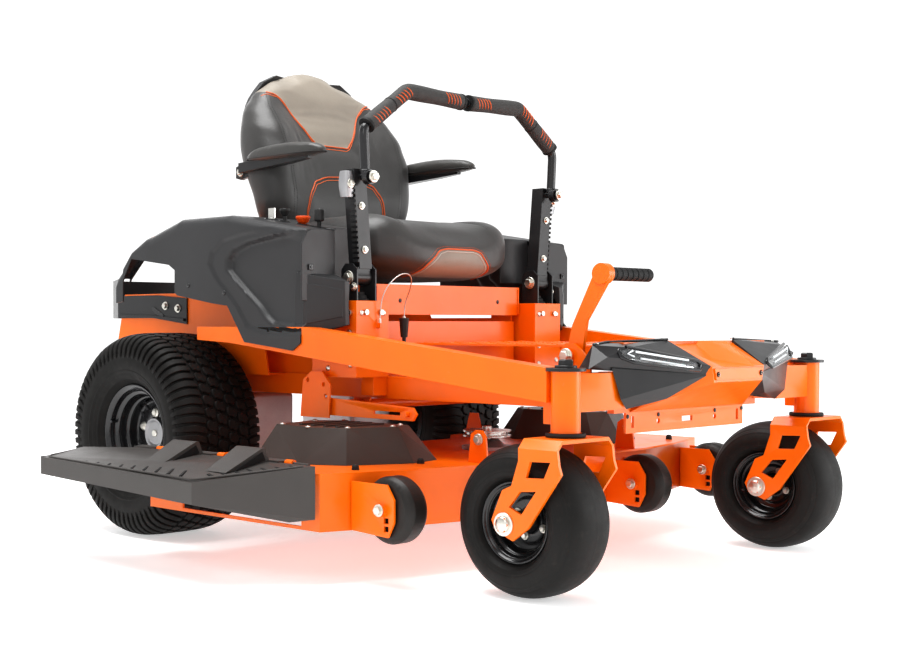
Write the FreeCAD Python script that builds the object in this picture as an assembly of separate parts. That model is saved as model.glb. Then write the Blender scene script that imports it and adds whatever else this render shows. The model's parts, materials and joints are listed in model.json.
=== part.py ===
import FreeCAD, Part
import itertools
import math
import os

# Zero-turn mower, millimetres. The model is laid out in the machine's own frame: x = 0 is the centre plane,
# +X is the operator's left, forward is -Y, z = 0 is the ground and y = 0 is the rear axle. ROW_SHIFT moves
# the finished pieces so that the origin is the bottom centre of the whole machine's box.
V = FreeCAD.Vector

# Overall limits, which set ROW_SHIFT
CHUTE_OUTER_X = -980.0
DECK_HALF_WIDTH = 762.0
NOSE_Y = -1470.0
TAIL_Y = 603.0
ROW_SHIFT = V(-(CHUTE_OUTER_X + DECK_HALF_WIDTH) / 2, -(NOSE_Y + TAIL_Y) / 2, 0)

# Wheels
TRACK_X = 510.0
REAR_R = 279.0
REAR_W = 279.0
FRONT_R = 165.0
FRONT_W = 165.0
REAR_BEAD_R, REAR_BEAD_W = 127.0, 205.0
FRONT_BEAD_R, FRONT_BEAD_W = 76.0, 118.0
RIM_FLANGE = 12.0
FRONT_AXLE_Y = -1285.0
PIVOT_Y = -1368.0
AXLE_R = 9.5
DRIVE_SHAFT_R = 15.0
RUNNING_GAP = 0.06

# Frame
RAIL_IN, RAIL_OUT = 245.0, 295.0
RAIL_Z0, RAIL_Z1 = 392.0, 448.0
RAIL_WALL = 4.0
CROSS_TUBES_Y = (-640.0, -60.0, 430.0)
CROSS_Z0 = 400.0
SIDE_RAIL_IN, SIDE_RAIL_OUT = 492.0, 540.0
TUBE_R = 31.0
TUBE_Z0, TUBE_Z1 = 356.0, 484.0
CAP_R = 42.0
STEM_R = 16.0
HITCH_Y, HITCH_R = 535.0, 9.75
ACCESSORY_X, ACCESSORY_R = 120.0, 6.5
PLATE = 5.0

# Deck
DECK_Z0, DECK_Z1 = 120.0, 250.0
SHEET = 5.0
SPINDLES = {"right": (-500.0, -620.0), "middle": (0.0, -735.0), "left": (500.0, -620.0)}
BLADE_LENGTH = 500.0
SPINDLE_R = 12.5
ROLLER_R = 75.0
ROLLER_Z = 173.0
ROLLERS = {"outer": (650.0, -1015.0), "inner": (200.0, -1085.0)}
ROLLER_W = 66.0

# Steering levers
LEVER_Y, LEVER_Z = -618.0, 700.0
LEVER_PIN_R = 8.0
SWING_X, SWING_Z = 379.0, 950.0
LEVER_TUBE_Y = -653.0
LEVER_TUBE_R = 12.5
GRIP_R = 21.0

# Seat
SEAT_HINGE_Y, SEAT_HINGE_Z = -580.0, 630.0
SEAT_PIN_R = 7.0
FRAME_PIN_X0, FRAME_PIN_X1 = -299.0, -284.0
ARM_PIVOT_Y, ARM_PIVOT_Z = -75.0, 1015.0
ARM_PIN_R = 8.0

# Lift
LIFT_Y, LIFT_Z = -537.0, 372.0
LIFT_SHAFT_R = 14.0
PEDAL_X, PEDAL_Y, PEDAL_Z = -345.0, -1268.0, 512.0

# Controls on the right-hand console, and the fore-and-aft place of each
CONTROL_X = -440.0
KEY_Y, CHOKE_Y, CLUTCH_Y, THROTTLE_Y = -370.0, -421.0, -490.0, -550.0
CONSOLE_REAR_Y, CONSOLE_REAR_Z = -300.0, 868.0
CONSOLE_SLOPE = 49.0 / 300.0

# Selector pin in its holder on the foot deck, and its wire
PIN_X, PIN_Y = -221.0, -640.0
PIN_TOP_Z = 598.0
LANYARD_R = 1.5
LANYARD_ROUTE = [(-340, -668, 585), (-340, -668, 622), (-336, -678, 665), (-312, -690, 698),
                 (-275, -694, 714),
                 (-240, -686, 702), (-223, -662, 668), (PIN_X, PIN_Y, 633), (PIN_X, PIN_Y, PIN_TOP_Z)]


def box(x0, x1, y0, y1, z0, z1):
    return Part.makeBox(x1 - x0, y1 - y0, z1 - z0, V(x0, y0, z0))


def cyl_x(x0, x1, y, z, radius):
    return Part.makeCylinder(radius, x1 - x0, V(x0, y, z), V(1, 0, 0))


def cyl_y(y0, y1, x, z, radius):
    return Part.makeCylinder(radius, y1 - y0, V(x, y0, z), V(0, 1, 0))


def cyl_z(z0, z1, x, y, radius):
    return Part.makeCylinder(radius, z1 - z0, V(x, y, z0), V(0, 0, 1))


def face_of(points):
    corners = [V(*p) for p in points]
    return Part.Face(Part.makePolygon(corners + corners[:1]))


def side_prism(x0, x1, outline):
    """Plate with a (y, z) outline, from x0 to x1."""
    return face_of([(x0, y, z) for y, z in outline]).extrude(V(x1 - x0, 0, 0))


def front_prism(y0, y1, outline):
    """Plate with an (x, z) outline, from y0 to y1."""
    return face_of([(x, y0, z) for x, z in outline]).extrude(V(0, y1 - y0, 0))


def plan_prism(z0, z1, outline):
    """Plate with an (x, y) outline, from z0 to z1."""
    return face_of([(x, y, z0) for x, y in outline]).extrude(V(0, 0, z1 - z0))


def turned_x(x, y, z, profile):
    """Solid of revolution about the X axis through (x, y, z); profile is (x offset, radius)."""
    face = face_of([(x + dx, y, z + r) for dx, r in profile])
    return face.revolve(V(x, y, z), V(1, 0, 0), 360)


def mirrored(shape):
    return shape.mirror(V(0, 0, 0), V(1, 0, 0))


def both(shape):
    return [shape, mirrored(shape)]


def fused(*shapes):
    solid = shapes[0].fuse(list(shapes[1:]))
    return solid.removeSplitter()


def hull(points):
    """Closed convex solid through the given corner points."""
    corners = [V(*p) for p in points]
    faces, seen = [], set()
    for i, j, k in itertools.combinations(range(len(corners)), 3):
        normal = (corners[j] - corners[i]).cross(corners[k] - corners[i])
        if normal.Length < 1e-6:
            continue
        normal.normalize()
        heights = [(p - corners[i]).dot(normal) for p in corners]
        if max(heights) > 1e-4 and min(heights) < -1e-4:
            continue
        ring = tuple(n for n, h in enumerate(heights) if abs(h) <= 1e-4)
        if ring in seen:
            continue
        seen.add(ring)
        middle = sum((corners[n] for n in ring), V()) * (1 / len(ring))
        along = (corners[ring[0]] - middle).normalize()
        across = normal.cross(along)
        turn = {n: math.atan2((corners[n] - middle).dot(across),
                              (corners[n] - middle).dot(along)) for n in ring}
        order = sorted(ring, key=turn.get)
        faces.append(face_of([tuple(corners[n]) for n in order]))
    solid = Part.Solid(Part.Shell(faces))
    if solid.Volume < 0:
        solid.reverse()
    return solid


def hollowed(solid, open_point, factor=0.95):
    """The solid with a scaled copy of itself cut out, so it is open towards open_point just outside it."""
    inner = solid.copy()
    grow = FreeCAD.Matrix()
    grow.move(V(*open_point) * -1)
    grow.scale(factor, factor, factor)
    grow.move(V(*open_point))
    inner = inner.transformGeometry(grow)
    return solid.cut(inner)


def rod_along(points, radius, bends):
    """Round rod along straight runs joined by tangent arcs, one bend radius for each inner point."""
    corners = [V(*p) for p in points]
    edges, start = [], corners[0]
    for before, corner, after, bend in zip(corners, corners[1:], corners[2:], bends):
        back = (before - corner).normalize()
        ahead = (after - corner).normalize()
        half = back.getAngle(ahead) / 2
        trim = bend / math.tan(half)
        into, out = corner + back * trim, corner + ahead * trim
        inward = (back + ahead).normalize()
        middle = corner + inward * (bend / math.sin(half) - bend)
        edges.append(Part.LineSegment(start, into).toShape())
        edges.append(Part.Arc(into, middle, out).toShape())
        start = out
    edges.append(Part.LineSegment(start, corners[-1]).toShape())
    circle = Part.Circle(corners[0], corners[1] - corners[0], radius).toShape()
    return Part.Wire(edges).makePipeShell([Part.Wire(circle)], True, False)


def bent_rod(points, radius, bend):
    return rod_along(points, radius, [bend] * (len(points) - 2))


def widest_bends(points):
    """The largest bend at each inner point that leaves a tenth of every run straight."""
    corners = [V(*p) for p in points]
    bends = []
    for before, corner, after in zip(corners, corners[1:], corners[2:]):
        back, ahead = before - corner, after - corner
        bends.append(0.45 * min(back.Length, ahead.Length) * math.tan(back.getAngle(ahead) / 2))
    return bends


def rounded(solid, radius):
    """All edges rounded."""
    return solid.makeFillet(radius, solid.Edges)


def hexagon(u, v, radius):
    return [(u + radius * math.cos(n * math.pi / 3),
             v + radius * math.sin(n * math.pi / 3)) for n in range(6)]


def hex_bolt_x(x0, x1, y, z, radius):
    """Bolt shank along X with a hexagon head past x1 and a nut past x0."""
    pieces = [cyl_x(x0, x1, y, z, radius)]
    for start, length in ((x1, radius), (x0 - radius, radius)):
        pieces.append(side_prism(start, start + length, hexagon(y, z, 1.8 * radius)))
    return fused(*pieces)


def save(node, *solids):
    moved = [solid.translated(ROW_SHIFT) for solid in solids]
    shape = moved[0] if len(moved) == 1 else Part.makeCompound(moved)
    shape.exportStep("parts/%s.step" % node)
    return shape


def save_pair(node, right):
    """The right-hand piece and its mirror image, each as a node of its own."""
    save(node + "_right", right)
    save(node + "_left", mirrored(right))


# ---------------------------------------------------------------- frame

def hollow_rail():
    rail = box(-RAIL_OUT, -RAIL_IN, -1325, 480, RAIL_Z0, RAIL_Z1)
    core = box(-RAIL_OUT + RAIL_WALL, -RAIL_IN - RAIL_WALL, -1326, 481, RAIL_Z0 + RAIL_WALL,
               RAIL_Z1 - RAIL_WALL)
    return rail.cut(core)


def main_frame():
    """Welded frame: each tube and plate is a solid of its own that meets its neighbours face to face."""
    pieces = both(hollow_rail())
    for y in CROSS_TUBES_Y:
        pieces.append(box(-RAIL_IN, RAIL_IN, y, y + 40, CROSS_Z0, RAIL_Z1))
    # Seat support: a front plate and two side plates that stand on the rails
    pieces.append(box(-285, 285, -596, -590, RAIL_Z1, 590))
    pieces += both(box(-285, -279, -590, -150, RAIL_Z1, 600))
    ear = side_prism(-285, -279, [(-590, 600), (-590, 640), (-565, 645), (-540, 600)])
    pin = cyl_x(FRAME_PIN_X0, FRAME_PIN_X1, SEAT_HINGE_Y, SEAT_HINGE_Z, SEAT_PIN_R)
    pieces += both(fused(ear, pin))
    # Lugs that carry the rock shaft under the rails
    lug = side_prism(-274, -266, [(LIFT_Y - 30, RAIL_Z0), (LIFT_Y - 20, 350), (LIFT_Y + 20, 350),
                                  (LIFT_Y + 30, RAIL_Z0)])
    pieces += both(lug.cut(cyl_x(-300, -200, LIFT_Y, LIFT_Z, LIFT_SHAFT_R + RUNNING_GAP)))
    # Engine plate, and the upright side plates beside the rear tyres on their feet
    pieces.append(box(-RAIL_OUT, RAIL_OUT, 60, 420, RAIL_Z1, RAIL_Z1 + PLATE))
    outline = [(-262, 443), (-262, 448), (-240, 560), (-190, 652), (60, 672), (400, 672), (440, 520),
               (440, 443)]
    pieces += both(side_prism(-357, -352, outline))
    pieces += both(box(-352, -RAIL_OUT, -262, 440, RAIL_Z1 - PLATE, RAIL_Z1))
    # Drawbar tongue under the rearmost cross tube, with its hitch hole
    tongue = box(-40, 40, CROSS_TUBES_Y[-1], 560, RAIL_Z0, CROSS_Z0)
    pieces.append(tongue.cut(cyl_z(380, 410, 0, HITCH_Y, HITCH_R)))
    return pieces


def side_rail(beam):
    outline = [(-180, 575), (-180, 540), (-318, 533), (-1341, 418), (-1341, 491), (-778, 554), (-600, 575)]
    rail = side_prism(-SIDE_RAIL_OUT, -SIDE_RAIL_IN, outline).cut(beam)
    return rail.cut(cyl_z(TUBE_Z1, TUBE_Z1 + 20, -TRACK_X, PIVOT_Y, CAP_R))


def front_beam():
    """Cross beam with the caster tubes, the slotted accessory flange and the pedal's pivot lug."""
    tube = cyl_z(TUBE_Z0, TUBE_Z1, -TRACK_X, PIVOT_Y, TUBE_R)
    arm = front_prism(-1385, -1342, [(-482, 398), (-482, 478), (-296, 478), (-310, 436), (-330, 398)])
    inboard = box(-335, -290, -1343, -1325, 398, 478)
    link = box(-520, -492, -1345, -1318, 372, 420)
    cross = box(-300, 300, -1342, -1325, 385, 470)
    flange = box(-248, 248, -1338, -1332, 338, 386)
    plate = side_prism(-364, -358, [(-1325, 440), (-1325, 500), (-1300, 526), (-1280, 540), (-1258, 540),
                                    (-1240, 520),
                                    (-1240, 440)])
    tie = box(-358, -RAIL_OUT, -1325, -1240, 440, 446)
    pin = cyl_x(-364, -330, PEDAL_Y, PEDAL_Z, 8)
    head = cyl_x(-374, -364, PEDAL_Y, PEDAL_Z, 13)
    beam = fused(cross, flange, plate, tie, pin, head, *both(tube), *both(arm), *both(inboard), *both(link))
    for x in (-ACCESSORY_X, ACCESSORY_X):
        beam = beam.cut(cyl_y(-1350, -1320, x, 362, ACCESSORY_R))
    for x in (-222, 222):
        beam = beam.cut(box(x - 5, x + 5, -1350, -1320, 350, 376))
    beam = beam.cut(box(-22, 22, -1350, -1320, 356, 368))
    for x in (-TRACK_X, TRACK_X):
        beam = beam.cut(cyl_z(300, 500, x, PIVOT_Y, STEM_R + RUNNING_GAP))
    return beam


def caster_cap():
    """Dust cap on the tube's top."""
    cap = cyl_z(TUBE_Z1, TUBE_Z1 + 7, -TRACK_X, PIVOT_Y, CAP_R)
    return cap.cut(cyl_z(460, 500, -TRACK_X, PIVOT_Y, STEM_R + 1))


def foot_deck():
    """Foot platform with a nose that slopes down to the front plate and a trough down its middle."""
    pan = box(-236, 236, -1330, -596, 529, 534)
    ridge = box(-300, 300, -1366, -1290, 530, 542)
    nose = hull([(-112, NOSE_Y, 487), (112, NOSE_Y, 487), (-104, NOSE_Y, 452), (104, NOSE_Y, 452),
                 (-140, -1366, 542), (140, -1366, 542), (-140, -1343, 542), (140, -1343, 542),
                 (-240, -1343, 386), (240, -1343, 386)])
    block = box(-140, 140, -1344, -1296, 482, 534)
    cavity = box(-95, 95, -1440, -1342.5, 442, 478)
    trough = hull([(-66, NOSE_Y - 10, 484), (66, NOSE_Y - 10, 484), (-66, -1366, 499), (66, -1366, 499),
                   (-108, NOSE_Y - 10, 560), (108, NOSE_Y - 10, 560), (-134, -1366, 560), (134, -1366, 560),
                   (-96, -1300, 535), (96, -1300, 535), (-134, -1300, 560), (134, -1300, 560)])
    sill = box(-236, 236, -606, -596, 470, 530)
    deck = fused(pan, ridge, nose.cut(cavity), block, sill).cut(trough)
    return deck.cut(cyl_z(500, 560, PIN_X, PIN_Y, 5 + RUNNING_GAP))


def front_fairing(beam, platform):
    """Faceted headlight housing beside the trough, cut to sit on the beam and the foot deck."""
    upper = hull([(-392, -1350, 537), (-402, -1322, 486), (-428, -1366, 486), (-305, -1324, 541),
                  (-138, -1372, 546),
                  (-114, -1468, 489), (-112, -1462, 470), (-322, -1396, 532), (-200, -1430, 470),
                  (-396, -1392, 512),
                  (-140, -1372, 486)])
    lower = hull([(-330, -1387, 490), (-318, -1386, 398), (-210, -1418, 418), (-114, -1462, 470),
                  (-130, -1386, 486),
                  (-200, -1386, 410), (-375, -1388, 488), (-350, -1394, 420)])
    return fused(upper, lower).cut(beam).cut(platform)


def headlight(fairing):
    """Clear lens let into the housing's front bevel."""
    lens = hull([(-352, -1396, 524), (-330, -1399, 531), (-160, -1453, 501), (-150, -1458, 493),
                 (-165, -1462, 482), (-330, -1418, 500), (-352, -1402, 510),
                 (-340, -1392, 518), (-165, -1446, 490)])
    return lens.cut(fairing)


def tower():
    shell = box(-417, -300, -660, -500, 448, 641)
    core = box(-411, -306, -654, -499, 447, 636)
    slot = box(-405, -322, -652, -560, 630, 645)
    shelf = box(-411, -306, -654, -580, 590, 596)
    post = box(-345, -296, -650, -606, 400, 448)
    return fused(shell.cut(core).cut(slot), shelf, post)


def lanyard_clip():
    return box(-346, -334, -674, -660, 572, 585)


def lever_bracket():
    plate_in = side_prism(-335, -330, [(-646, 600), (-646, 720), (-630, 735), (-604, 735), (-590, 720),
                                       (-590, 600)])
    plate_out = plate_in.translated(V(-66, 0, 0))
    pin = cyl_x(-404, -326, LEVER_Y, LEVER_Z, LEVER_PIN_R)
    base = box(-401, -330, -646, -590, 596, 602)
    return fused(plate_in, plate_out, pin, base)


def console_z(y):
    return CONSOLE_REAR_Z - (CONSOLE_REAR_Y - y) * CONSOLE_SLOPE


def side_fairing(rail):
    """Moulded shell over the rear wheel: an outer wall and a top, with a post behind its rear window."""
    outline = [(183, 642), (188, 716), (113, 781), (54, 822), (-100, 868), (-300, 868),
               (-600, console_z(-600)), (-648, 800), (-640, 566), (-563, 516), (-380, 536), (-312, 630),
               (-249, 637), (-100, 660), (-89, 668), (-89, 729), (-63, 744), (109, 766), (152, 705),
               (150, 645)]
    shell = side_prism(-545, -300, outline)
    hollow = [(176, 400), (176, 645), (181, 713), (110, 775), (51, 816), (-101, 862), (-301, 862),
              (-598, 813), (-641, 797), (-633, 400)]
    shell = shell.cut(side_prism(-540, -290, hollow))
    # Room for the tower, the lever and the hood
    shell = shell.cut(box(-426, -290, -700, -530, 400, 900))
    return shell.cut(box(-500, -290, -62, 200, 600, 900)).cut(rail)


def console_holes():
    holes = [cyl_z(780, 900, CONTROL_X, y, r) for y, r in ((KEY_Y, 10), (CHOKE_Y, 6), (CLUTCH_Y, 8))]
    holes.append(box(CONTROL_X - 6, CONTROL_X + 6, THROTTLE_Y - 30, THROTTLE_Y + 30, 780, 900))
    return holes


def rear_hood():
    body = hull([(-496, -60, 816), (496, -60, 816), (-470, 190, 796), (470, 190, 796),
                 (-480, -60, 856), (480, -60, 856), (-430, 165, 836), (430, 165, 836)])
    return hollowed(body, (0, 60, 770), 0.93)


def strap(start, end, z0, z1, thickness):
    """Upright strip of plate between two plan points."""
    along = V(end[0] - start[0], end[1] - start[1], 0).normalize()
    across = V(-along.y, along.x, 0) * (thickness / 2)
    a, b = V(start[0], start[1], 0), V(end[0], end[1], 0)
    ring = [a + across, b + across, b - across, a - across]
    return plan_prism(z0, z1, [(p.x, p.y) for p in ring])


def rear_bumper():
    side = side_prism(-362, -357, [(90, 582), (90, 657), (230, 668), (430, 668), (430, 600), (250, 600)])
    for y, z in ((130, 628), (190, 636)):
        side = side.cut(cyl_x(-370, -350, y, z, 6))
    corner = strap((-359.5, 428), (-256, 600), 600, 720, 5)
    back = box(-257, 257, 598, 603, 600, 720)
    return fused(back, *both(side), *both(corner))


def engine_block():
    block = rounded(box(-120, 120, 130, 370, 453, 640), 12)
    pieces = [block]
    for sign in (-1, 1):
        barrel = cyl_z(0, 150, 0, 0, 62)
        for n in range(6):
            barrel = barrel.fuse(cyl_z(30 + 18 * n, 38 + 18 * n, 0, 0, 76))
        barrel.rotate(V(), V(0, 1, 0), 90 * sign)
        barrel.rotate(V(), V(0, 0, 1), 45 * sign)
        pieces.append(barrel.translated(V(sign * 80, 300, 550)))
    return fused(*pieces)


def blower_shroud():
    bowl = cyl_z(640, 740, 0, 240, 175)
    lid = Part.makeCone(175, 140, 30, V(0, 240, 740))
    cleaner = cyl_x(-120, 120, 95, 700, 52)
    return fused(bowl, lid, cleaner)


def muffler(block):
    can = rounded(box(-190, 190, 455, 575, 470, 570), 30)
    pipe = cyl_y(570, 592, -140, 520, 16)
    header = cyl_y(370, 460, -60, 520, 14)
    return fused(can, pipe, *both(header)).cut(cyl_y(560, 600, -140, 520, 13)).cut(block)


def transaxle():
    case = rounded(box(-290, -120, -110, 120, 205, 386), 14)
    horn = cyl_x(-366, -280, 0, REAR_R, 46)
    lug = box(-290, -250, -60, 60, 380, RAIL_Z0)
    body = fused(case, horn, lug)
    return body.cut(cyl_x(-370, -300, 0, REAR_R, DRIVE_SHAFT_R + RUNNING_GAP))


def frame_bolts():
    """Hexagon heads on the towers and the bumper plates."""
    bolts = []
    for y, z in ((-640, 610), (-640, 560), (-545, 610), (-545, 560)):
        bolts.append(side_prism(-425, -417, hexagon(y, z, 9)))
    for y, z in ((130, 628), (190, 636)):
        bolts.append(side_prism(-368, -362, hexagon(y, z, 9)))
    for x, z in ((-385, 612), (-330, 612)):
        bolts.append(front_prism(-667, -660, hexagon(x, z, 8)))
    pairs = []
    for bolt in bolts:
        pairs += both(bolt)
    return pairs


# ---------------------------------------------------------------- wheels

def tyre_ring(x, y, z, outer, width, bead_r, bead_w, shoulder, wall):
    """Carcass: outer profile, then the inside of the same wall back to the other bead."""
    half = width / 2
    side_r = (outer + bead_r) / 2 + 2
    heel = bead_w / 2
    neck_r = bead_r + RIM_FLANGE + 2
    profile = [(-heel, bead_r), (-heel, neck_r), (-half, side_r), (-half + 3, outer - shoulder),
               (-half + 22, outer - 8), (-half + 48, outer), (half - 48, outer), (half - 22, outer - 8),
               (half - 3, outer - shoulder), (half, side_r), (heel, neck_r), (heel, bead_r),
               (heel - wall, bead_r), (heel - wall, neck_r + 4), (half - wall, side_r),
               (half - wall - 4, outer - shoulder),
               (half - 48, outer - wall), (-half + 48, outer - wall), (-half + wall + 4, outer - shoulder),
               (-half + wall, side_r), (-heel + wall, neck_r + 4), (-heel + wall, bead_r)]
    return turned_x(x, y, z, profile)


def wheel_barrel(x, y, z, bead_r, bead_w, disc_dx):
    """Rim with two flanges outside the tyre's beads and a disc at disc_dx from its middle."""
    half = bead_w / 2
    r = bead_r - 0.3
    flange_r = bead_r + RIM_FLANGE
    profile = [(-half - 6, flange_r), (-half - 0.5, flange_r), (-half - 0.5, r), (half + 0.5, r),
               (half + 0.5, flange_r), (half + 6, flange_r), (half + 3, r - 5), (-half - 3, r - 5)]
    disc = turned_x(x, y, z, [(disc_dx - 3, 0.0), (disc_dx - 3, r - 2), (disc_dx + 3, r - 2),
                              (disc_dx + 3, 0.0)])
    return fused(turned_x(x, y, z, profile), disc)


def rear_rim():
    """Right-hand rim with its hub, drive shaft and lug nuts."""
    rim = wheel_barrel(-TRACK_X, 0, REAR_R, REAR_BEAD_R, REAR_BEAD_W, -22)
    hub = cyl_x(-529, -380, 0, REAR_R, 42)
    shaft = cyl_x(-545, -305, 0, REAR_R, DRIVE_SHAFT_R)
    pieces = [rim, hub, shaft]
    for n in range(5):
        a = 2 * math.pi * n / 5 + 0.3
        pieces.append(cyl_x(-549, -535, 57 * math.cos(a), REAR_R + 57 * math.sin(a), 10))
    return fused(*pieces)


def front_rim():
    rim = wheel_barrel(-TRACK_X, FRONT_AXLE_Y, FRONT_R, FRONT_BEAD_R, FRONT_BEAD_W, -14)
    hub = cyl_x(-TRACK_X - 80, -TRACK_X + 80, FRONT_AXLE_Y, FRONT_R, 24)
    return fused(rim, hub).cut(cyl_x(-620, -400, FRONT_AXLE_Y, FRONT_R, AXLE_R + RUNNING_GAP))


def caster_fork():
    """Fork with its stem, bent top and two windowed legs, and the axle bolt through the wheel."""
    stem = cyl_z(338, 494, -TRACK_X, PIVOT_Y, STEM_R)
    nut = cyl_z(490, 500, -TRACK_X, PIVOT_Y, 13)
    seal = cyl_z(346, 355.5, -TRACK_X, PIVOT_Y, 38)
    top = box(-TRACK_X - 80, -TRACK_X + 80, PIVOT_Y - 52, PIVOT_Y + 46, 338, 346)
    leg_outline = [(-1420, 326), (-1424, 296), (-1430, 278), (-1348, 162), (-1308, 132), (-1262, 150),
                   (-1252, 172), (-1280, 236), (-1304, 247), (-1322, 300), (-1322, 326)]
    leg = side_prism(-TRACK_X - 99, -TRACK_X - 91, leg_outline)
    leg = leg.cut(side_prism(-620, -590, [(-1352, 300), (-1404, 302), (-1388, 268), (-1342, 266)]))
    leg = leg.cut(side_prism(-620, -590, [(-1326, 236), (-1368, 240), (-1330, 188), (-1298, 202)]))
    shoulder = hull([(-TRACK_X - 80, PIVOT_Y - 52, 346), (-TRACK_X - 80, PIVOT_Y + 46, 346),
                     (-TRACK_X - 80, PIVOT_Y - 52, 338), (-TRACK_X - 80, PIVOT_Y + 46, 338),
                     (-TRACK_X - 99, PIVOT_Y - 52, 326), (-TRACK_X - 99, PIVOT_Y + 46, 326),
                     (-TRACK_X - 91, PIVOT_Y - 52, 326), (-TRACK_X - 91, PIVOT_Y + 46, 326)])
    outer = fused(leg, shoulder)
    inner = outer.mirror(V(-TRACK_X, 0, 0), V(1, 0, 0))
    bolt = hex_bolt_x(-TRACK_X - 99, -TRACK_X + 99, FRONT_AXLE_Y, FRONT_R, AXLE_R)
    return fused(stem, nut, seal, top, outer, inner, bolt)


# ---------------------------------------------------------------- steering levers

def lever_base():
    """Channel that rocks on the bracket pin, with the clamp knob and the swing bolt at its top."""
    outline = [(-338, 722), (-382, 722), (-404, 972), (-362, 972)]
    channel = front_prism(-638, -600, outline)
    pocket = front_prism(-632, -599, [(-344, 730), (-376, 730), (-398, 980), (-367, 980)])
    neck = box(-388, -342, -636, -600, 700, 726)
    boss = cyl_x(-392, -338, LEVER_Y, LEVER_Z, 19)
    bolt = cyl_y(-676, -630, -SWING_X, SWING_Z, 6)
    head = cyl_y(-684, -676, -SWING_X, SWING_Z, 11)
    knob = hull([(-404, -630, 960), (-404, -606, 960), (-398, -630, 905), (-398, -606, 905),
                 (-426, -630, 958), (-426, -606, 958), (-412, -630, 905), (-412, -606, 905)])
    base = fused(channel.cut(pocket), neck, boss, bolt, head, knob)
    return base.cut(cyl_x(-420, -320, LEVER_Y, LEVER_Z, LEVER_PIN_R + RUNNING_GAP))


LEVER_PATH = [(-SWING_X, LEVER_TUBE_Y, 958), (-386, LEVER_TUBE_Y, 1073), (-227, LEVER_TUBE_Y, 1182),
              (-8, LEVER_TUBE_Y, 1176)]


def lever_arm():
    tube = bent_rod(LEVER_PATH, LEVER_TUBE_R, 38)
    lug = cyl_y(-675, -640, -SWING_X, SWING_Z, 19)
    return fused(tube, lug).cut(cyl_y(-690, -630, -SWING_X, SWING_Z, 6 + RUNNING_GAP))


def lever_grip():
    """Foam sleeve over the upper part of the lever tube."""
    sleeve = bent_rod(LEVER_PATH, GRIP_R, 38)
    keep = box(-381, 0, -700, -600, 1068, 1300)
    return sleeve.common(keep).cut(bent_rod(LEVER_PATH, LEVER_TUBE_R + 0.1, 38))


# ---------------------------------------------------------------- seat

def seat_pan():
    front = box(-287, 287, -606, -601, 607, 680)
    pan = box(-275, 275, -606, -160, 680, 686)
    ear = side_prism(-296, -290, [(-606, 610), (-606, 686), (-500, 686), (-556, 610)])
    shelf = box(-296, -270, -606, -500, 680, 686)
    back_plate = box(-180, 180, -165, -122, 680, 700)
    pan = fused(front, pan, back_plate, *both(fused(ear, shelf)))
    return pan.cut(cyl_x(-305, 305, SEAT_HINGE_Y, SEAT_HINGE_Z, SEAT_PIN_R + RUNNING_GAP))


def seat_cushion():
    body = hull([(-262, -640, 700), (262, -640, 700), (-262, -200, 700), (262, -200, 700),
                 (-266, -650, 790), (266, -650, 790), (-266, -200, 800), (266, -200, 800),
                 (-225, -610, 850), (225, -610, 850), (-225, -200, 890), (225, -200, 890)])
    return rounded(body, 14)


def seat_back():
    outline = [(-182, 705), (-120, 705), (-75, 900), (-20, 1105), (0, 1290), (-26, 1336), (-60, 1330),
               (-140, 1105),
               (-180, 900)]
    body = side_prism(-215, 215, outline)
    wing = hull([(-215, -182, 760), (-215, -110, 760), (-215, -215, 1100), (-215, -20, 1105),
                 (-262, -200, 1050),
                 (-262, -40, 1050), (-262, -195, 930), (-262, -75, 930), (-215, -30, 1290),
                 (-215, -60, 1290)])
    pin = cyl_x(-284, -250, ARM_PIVOT_Y, ARM_PIVOT_Z, ARM_PIN_R)
    return fused(body, *both(wing), *both(pin))


def armrest():
    plate = side_prism(-282, -276, [(-20, 990), (-20, 1036), (-150, 1030), (-330, 1022), (-330, 1006),
                                    (-150, 998), (-100, 990)])
    shelf = box(-318, -276, -400, -180, 1020, 1026)
    pad = rounded(box(-334, -276, -428, -125, 1036, 1068), 10)
    riser = box(-310, -284, -360, -180, 1026, 1037)
    return fused(plate, shelf, riser, pad).cut(cyl_x(-290, -260, ARM_PIVOT_Y, ARM_PIVOT_Z,
                                                     ARM_PIN_R + RUNNING_GAP))


# ---------------------------------------------------------------- lift

def lift_pedal():
    arm = hull([(PEDAL_X - 5, -1290, 500), (PEDAL_X + 5, -1290, 500), (PEDAL_X - 5, -1246, 500),
                (PEDAL_X + 5, -1246, 500), (PEDAL_X - 5, -1304, 590), (PEDAL_X + 5, -1304, 590),
                (PEDAL_X - 5, -1266, 580), (PEDAL_X + 5, -1266, 580)])
    upper = hull([(PEDAL_X - 5, -1304, 590), (PEDAL_X + 5, -1304, 590), (PEDAL_X - 5, -1266, 580),
                  (PEDAL_X + 5, -1266, 580), (PEDAL_X - 5, -1362, 680), (PEDAL_X + 5, -1362, 680),
                  (PEDAL_X - 5, -1322, 692), (PEDAL_X + 5, -1322, 692)])
    hub = cyl_x(PEDAL_X - 9, PEDAL_X + 12, -1343, 692, 23)
    spindle = cyl_x(PEDAL_X + 12, -176, -1343, 692, 8)
    foot = cyl_x(PEDAL_X - 9, PEDAL_X + 9, PEDAL_Y, PEDAL_Z, 22)
    body = fused(arm, upper, hub, spindle, foot)
    return body.cut(cyl_x(-370, -320, PEDAL_Y, PEDAL_Z, 8 + RUNNING_GAP))


def foot_peg():
    peg = cyl_x(PEDAL_X + 14, -172, -1343, 692, 15)
    for n in range(7):
        x = PEDAL_X + 30 + 20 * n
        peg = peg.cut(cyl_x(x, x + 6, -1343, 692, 16).cut(cyl_x(x, x + 6, -1343, 692, 13.5)))
    return peg.cut(cyl_x(-400, -176, -1343, 692, 8))


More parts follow.
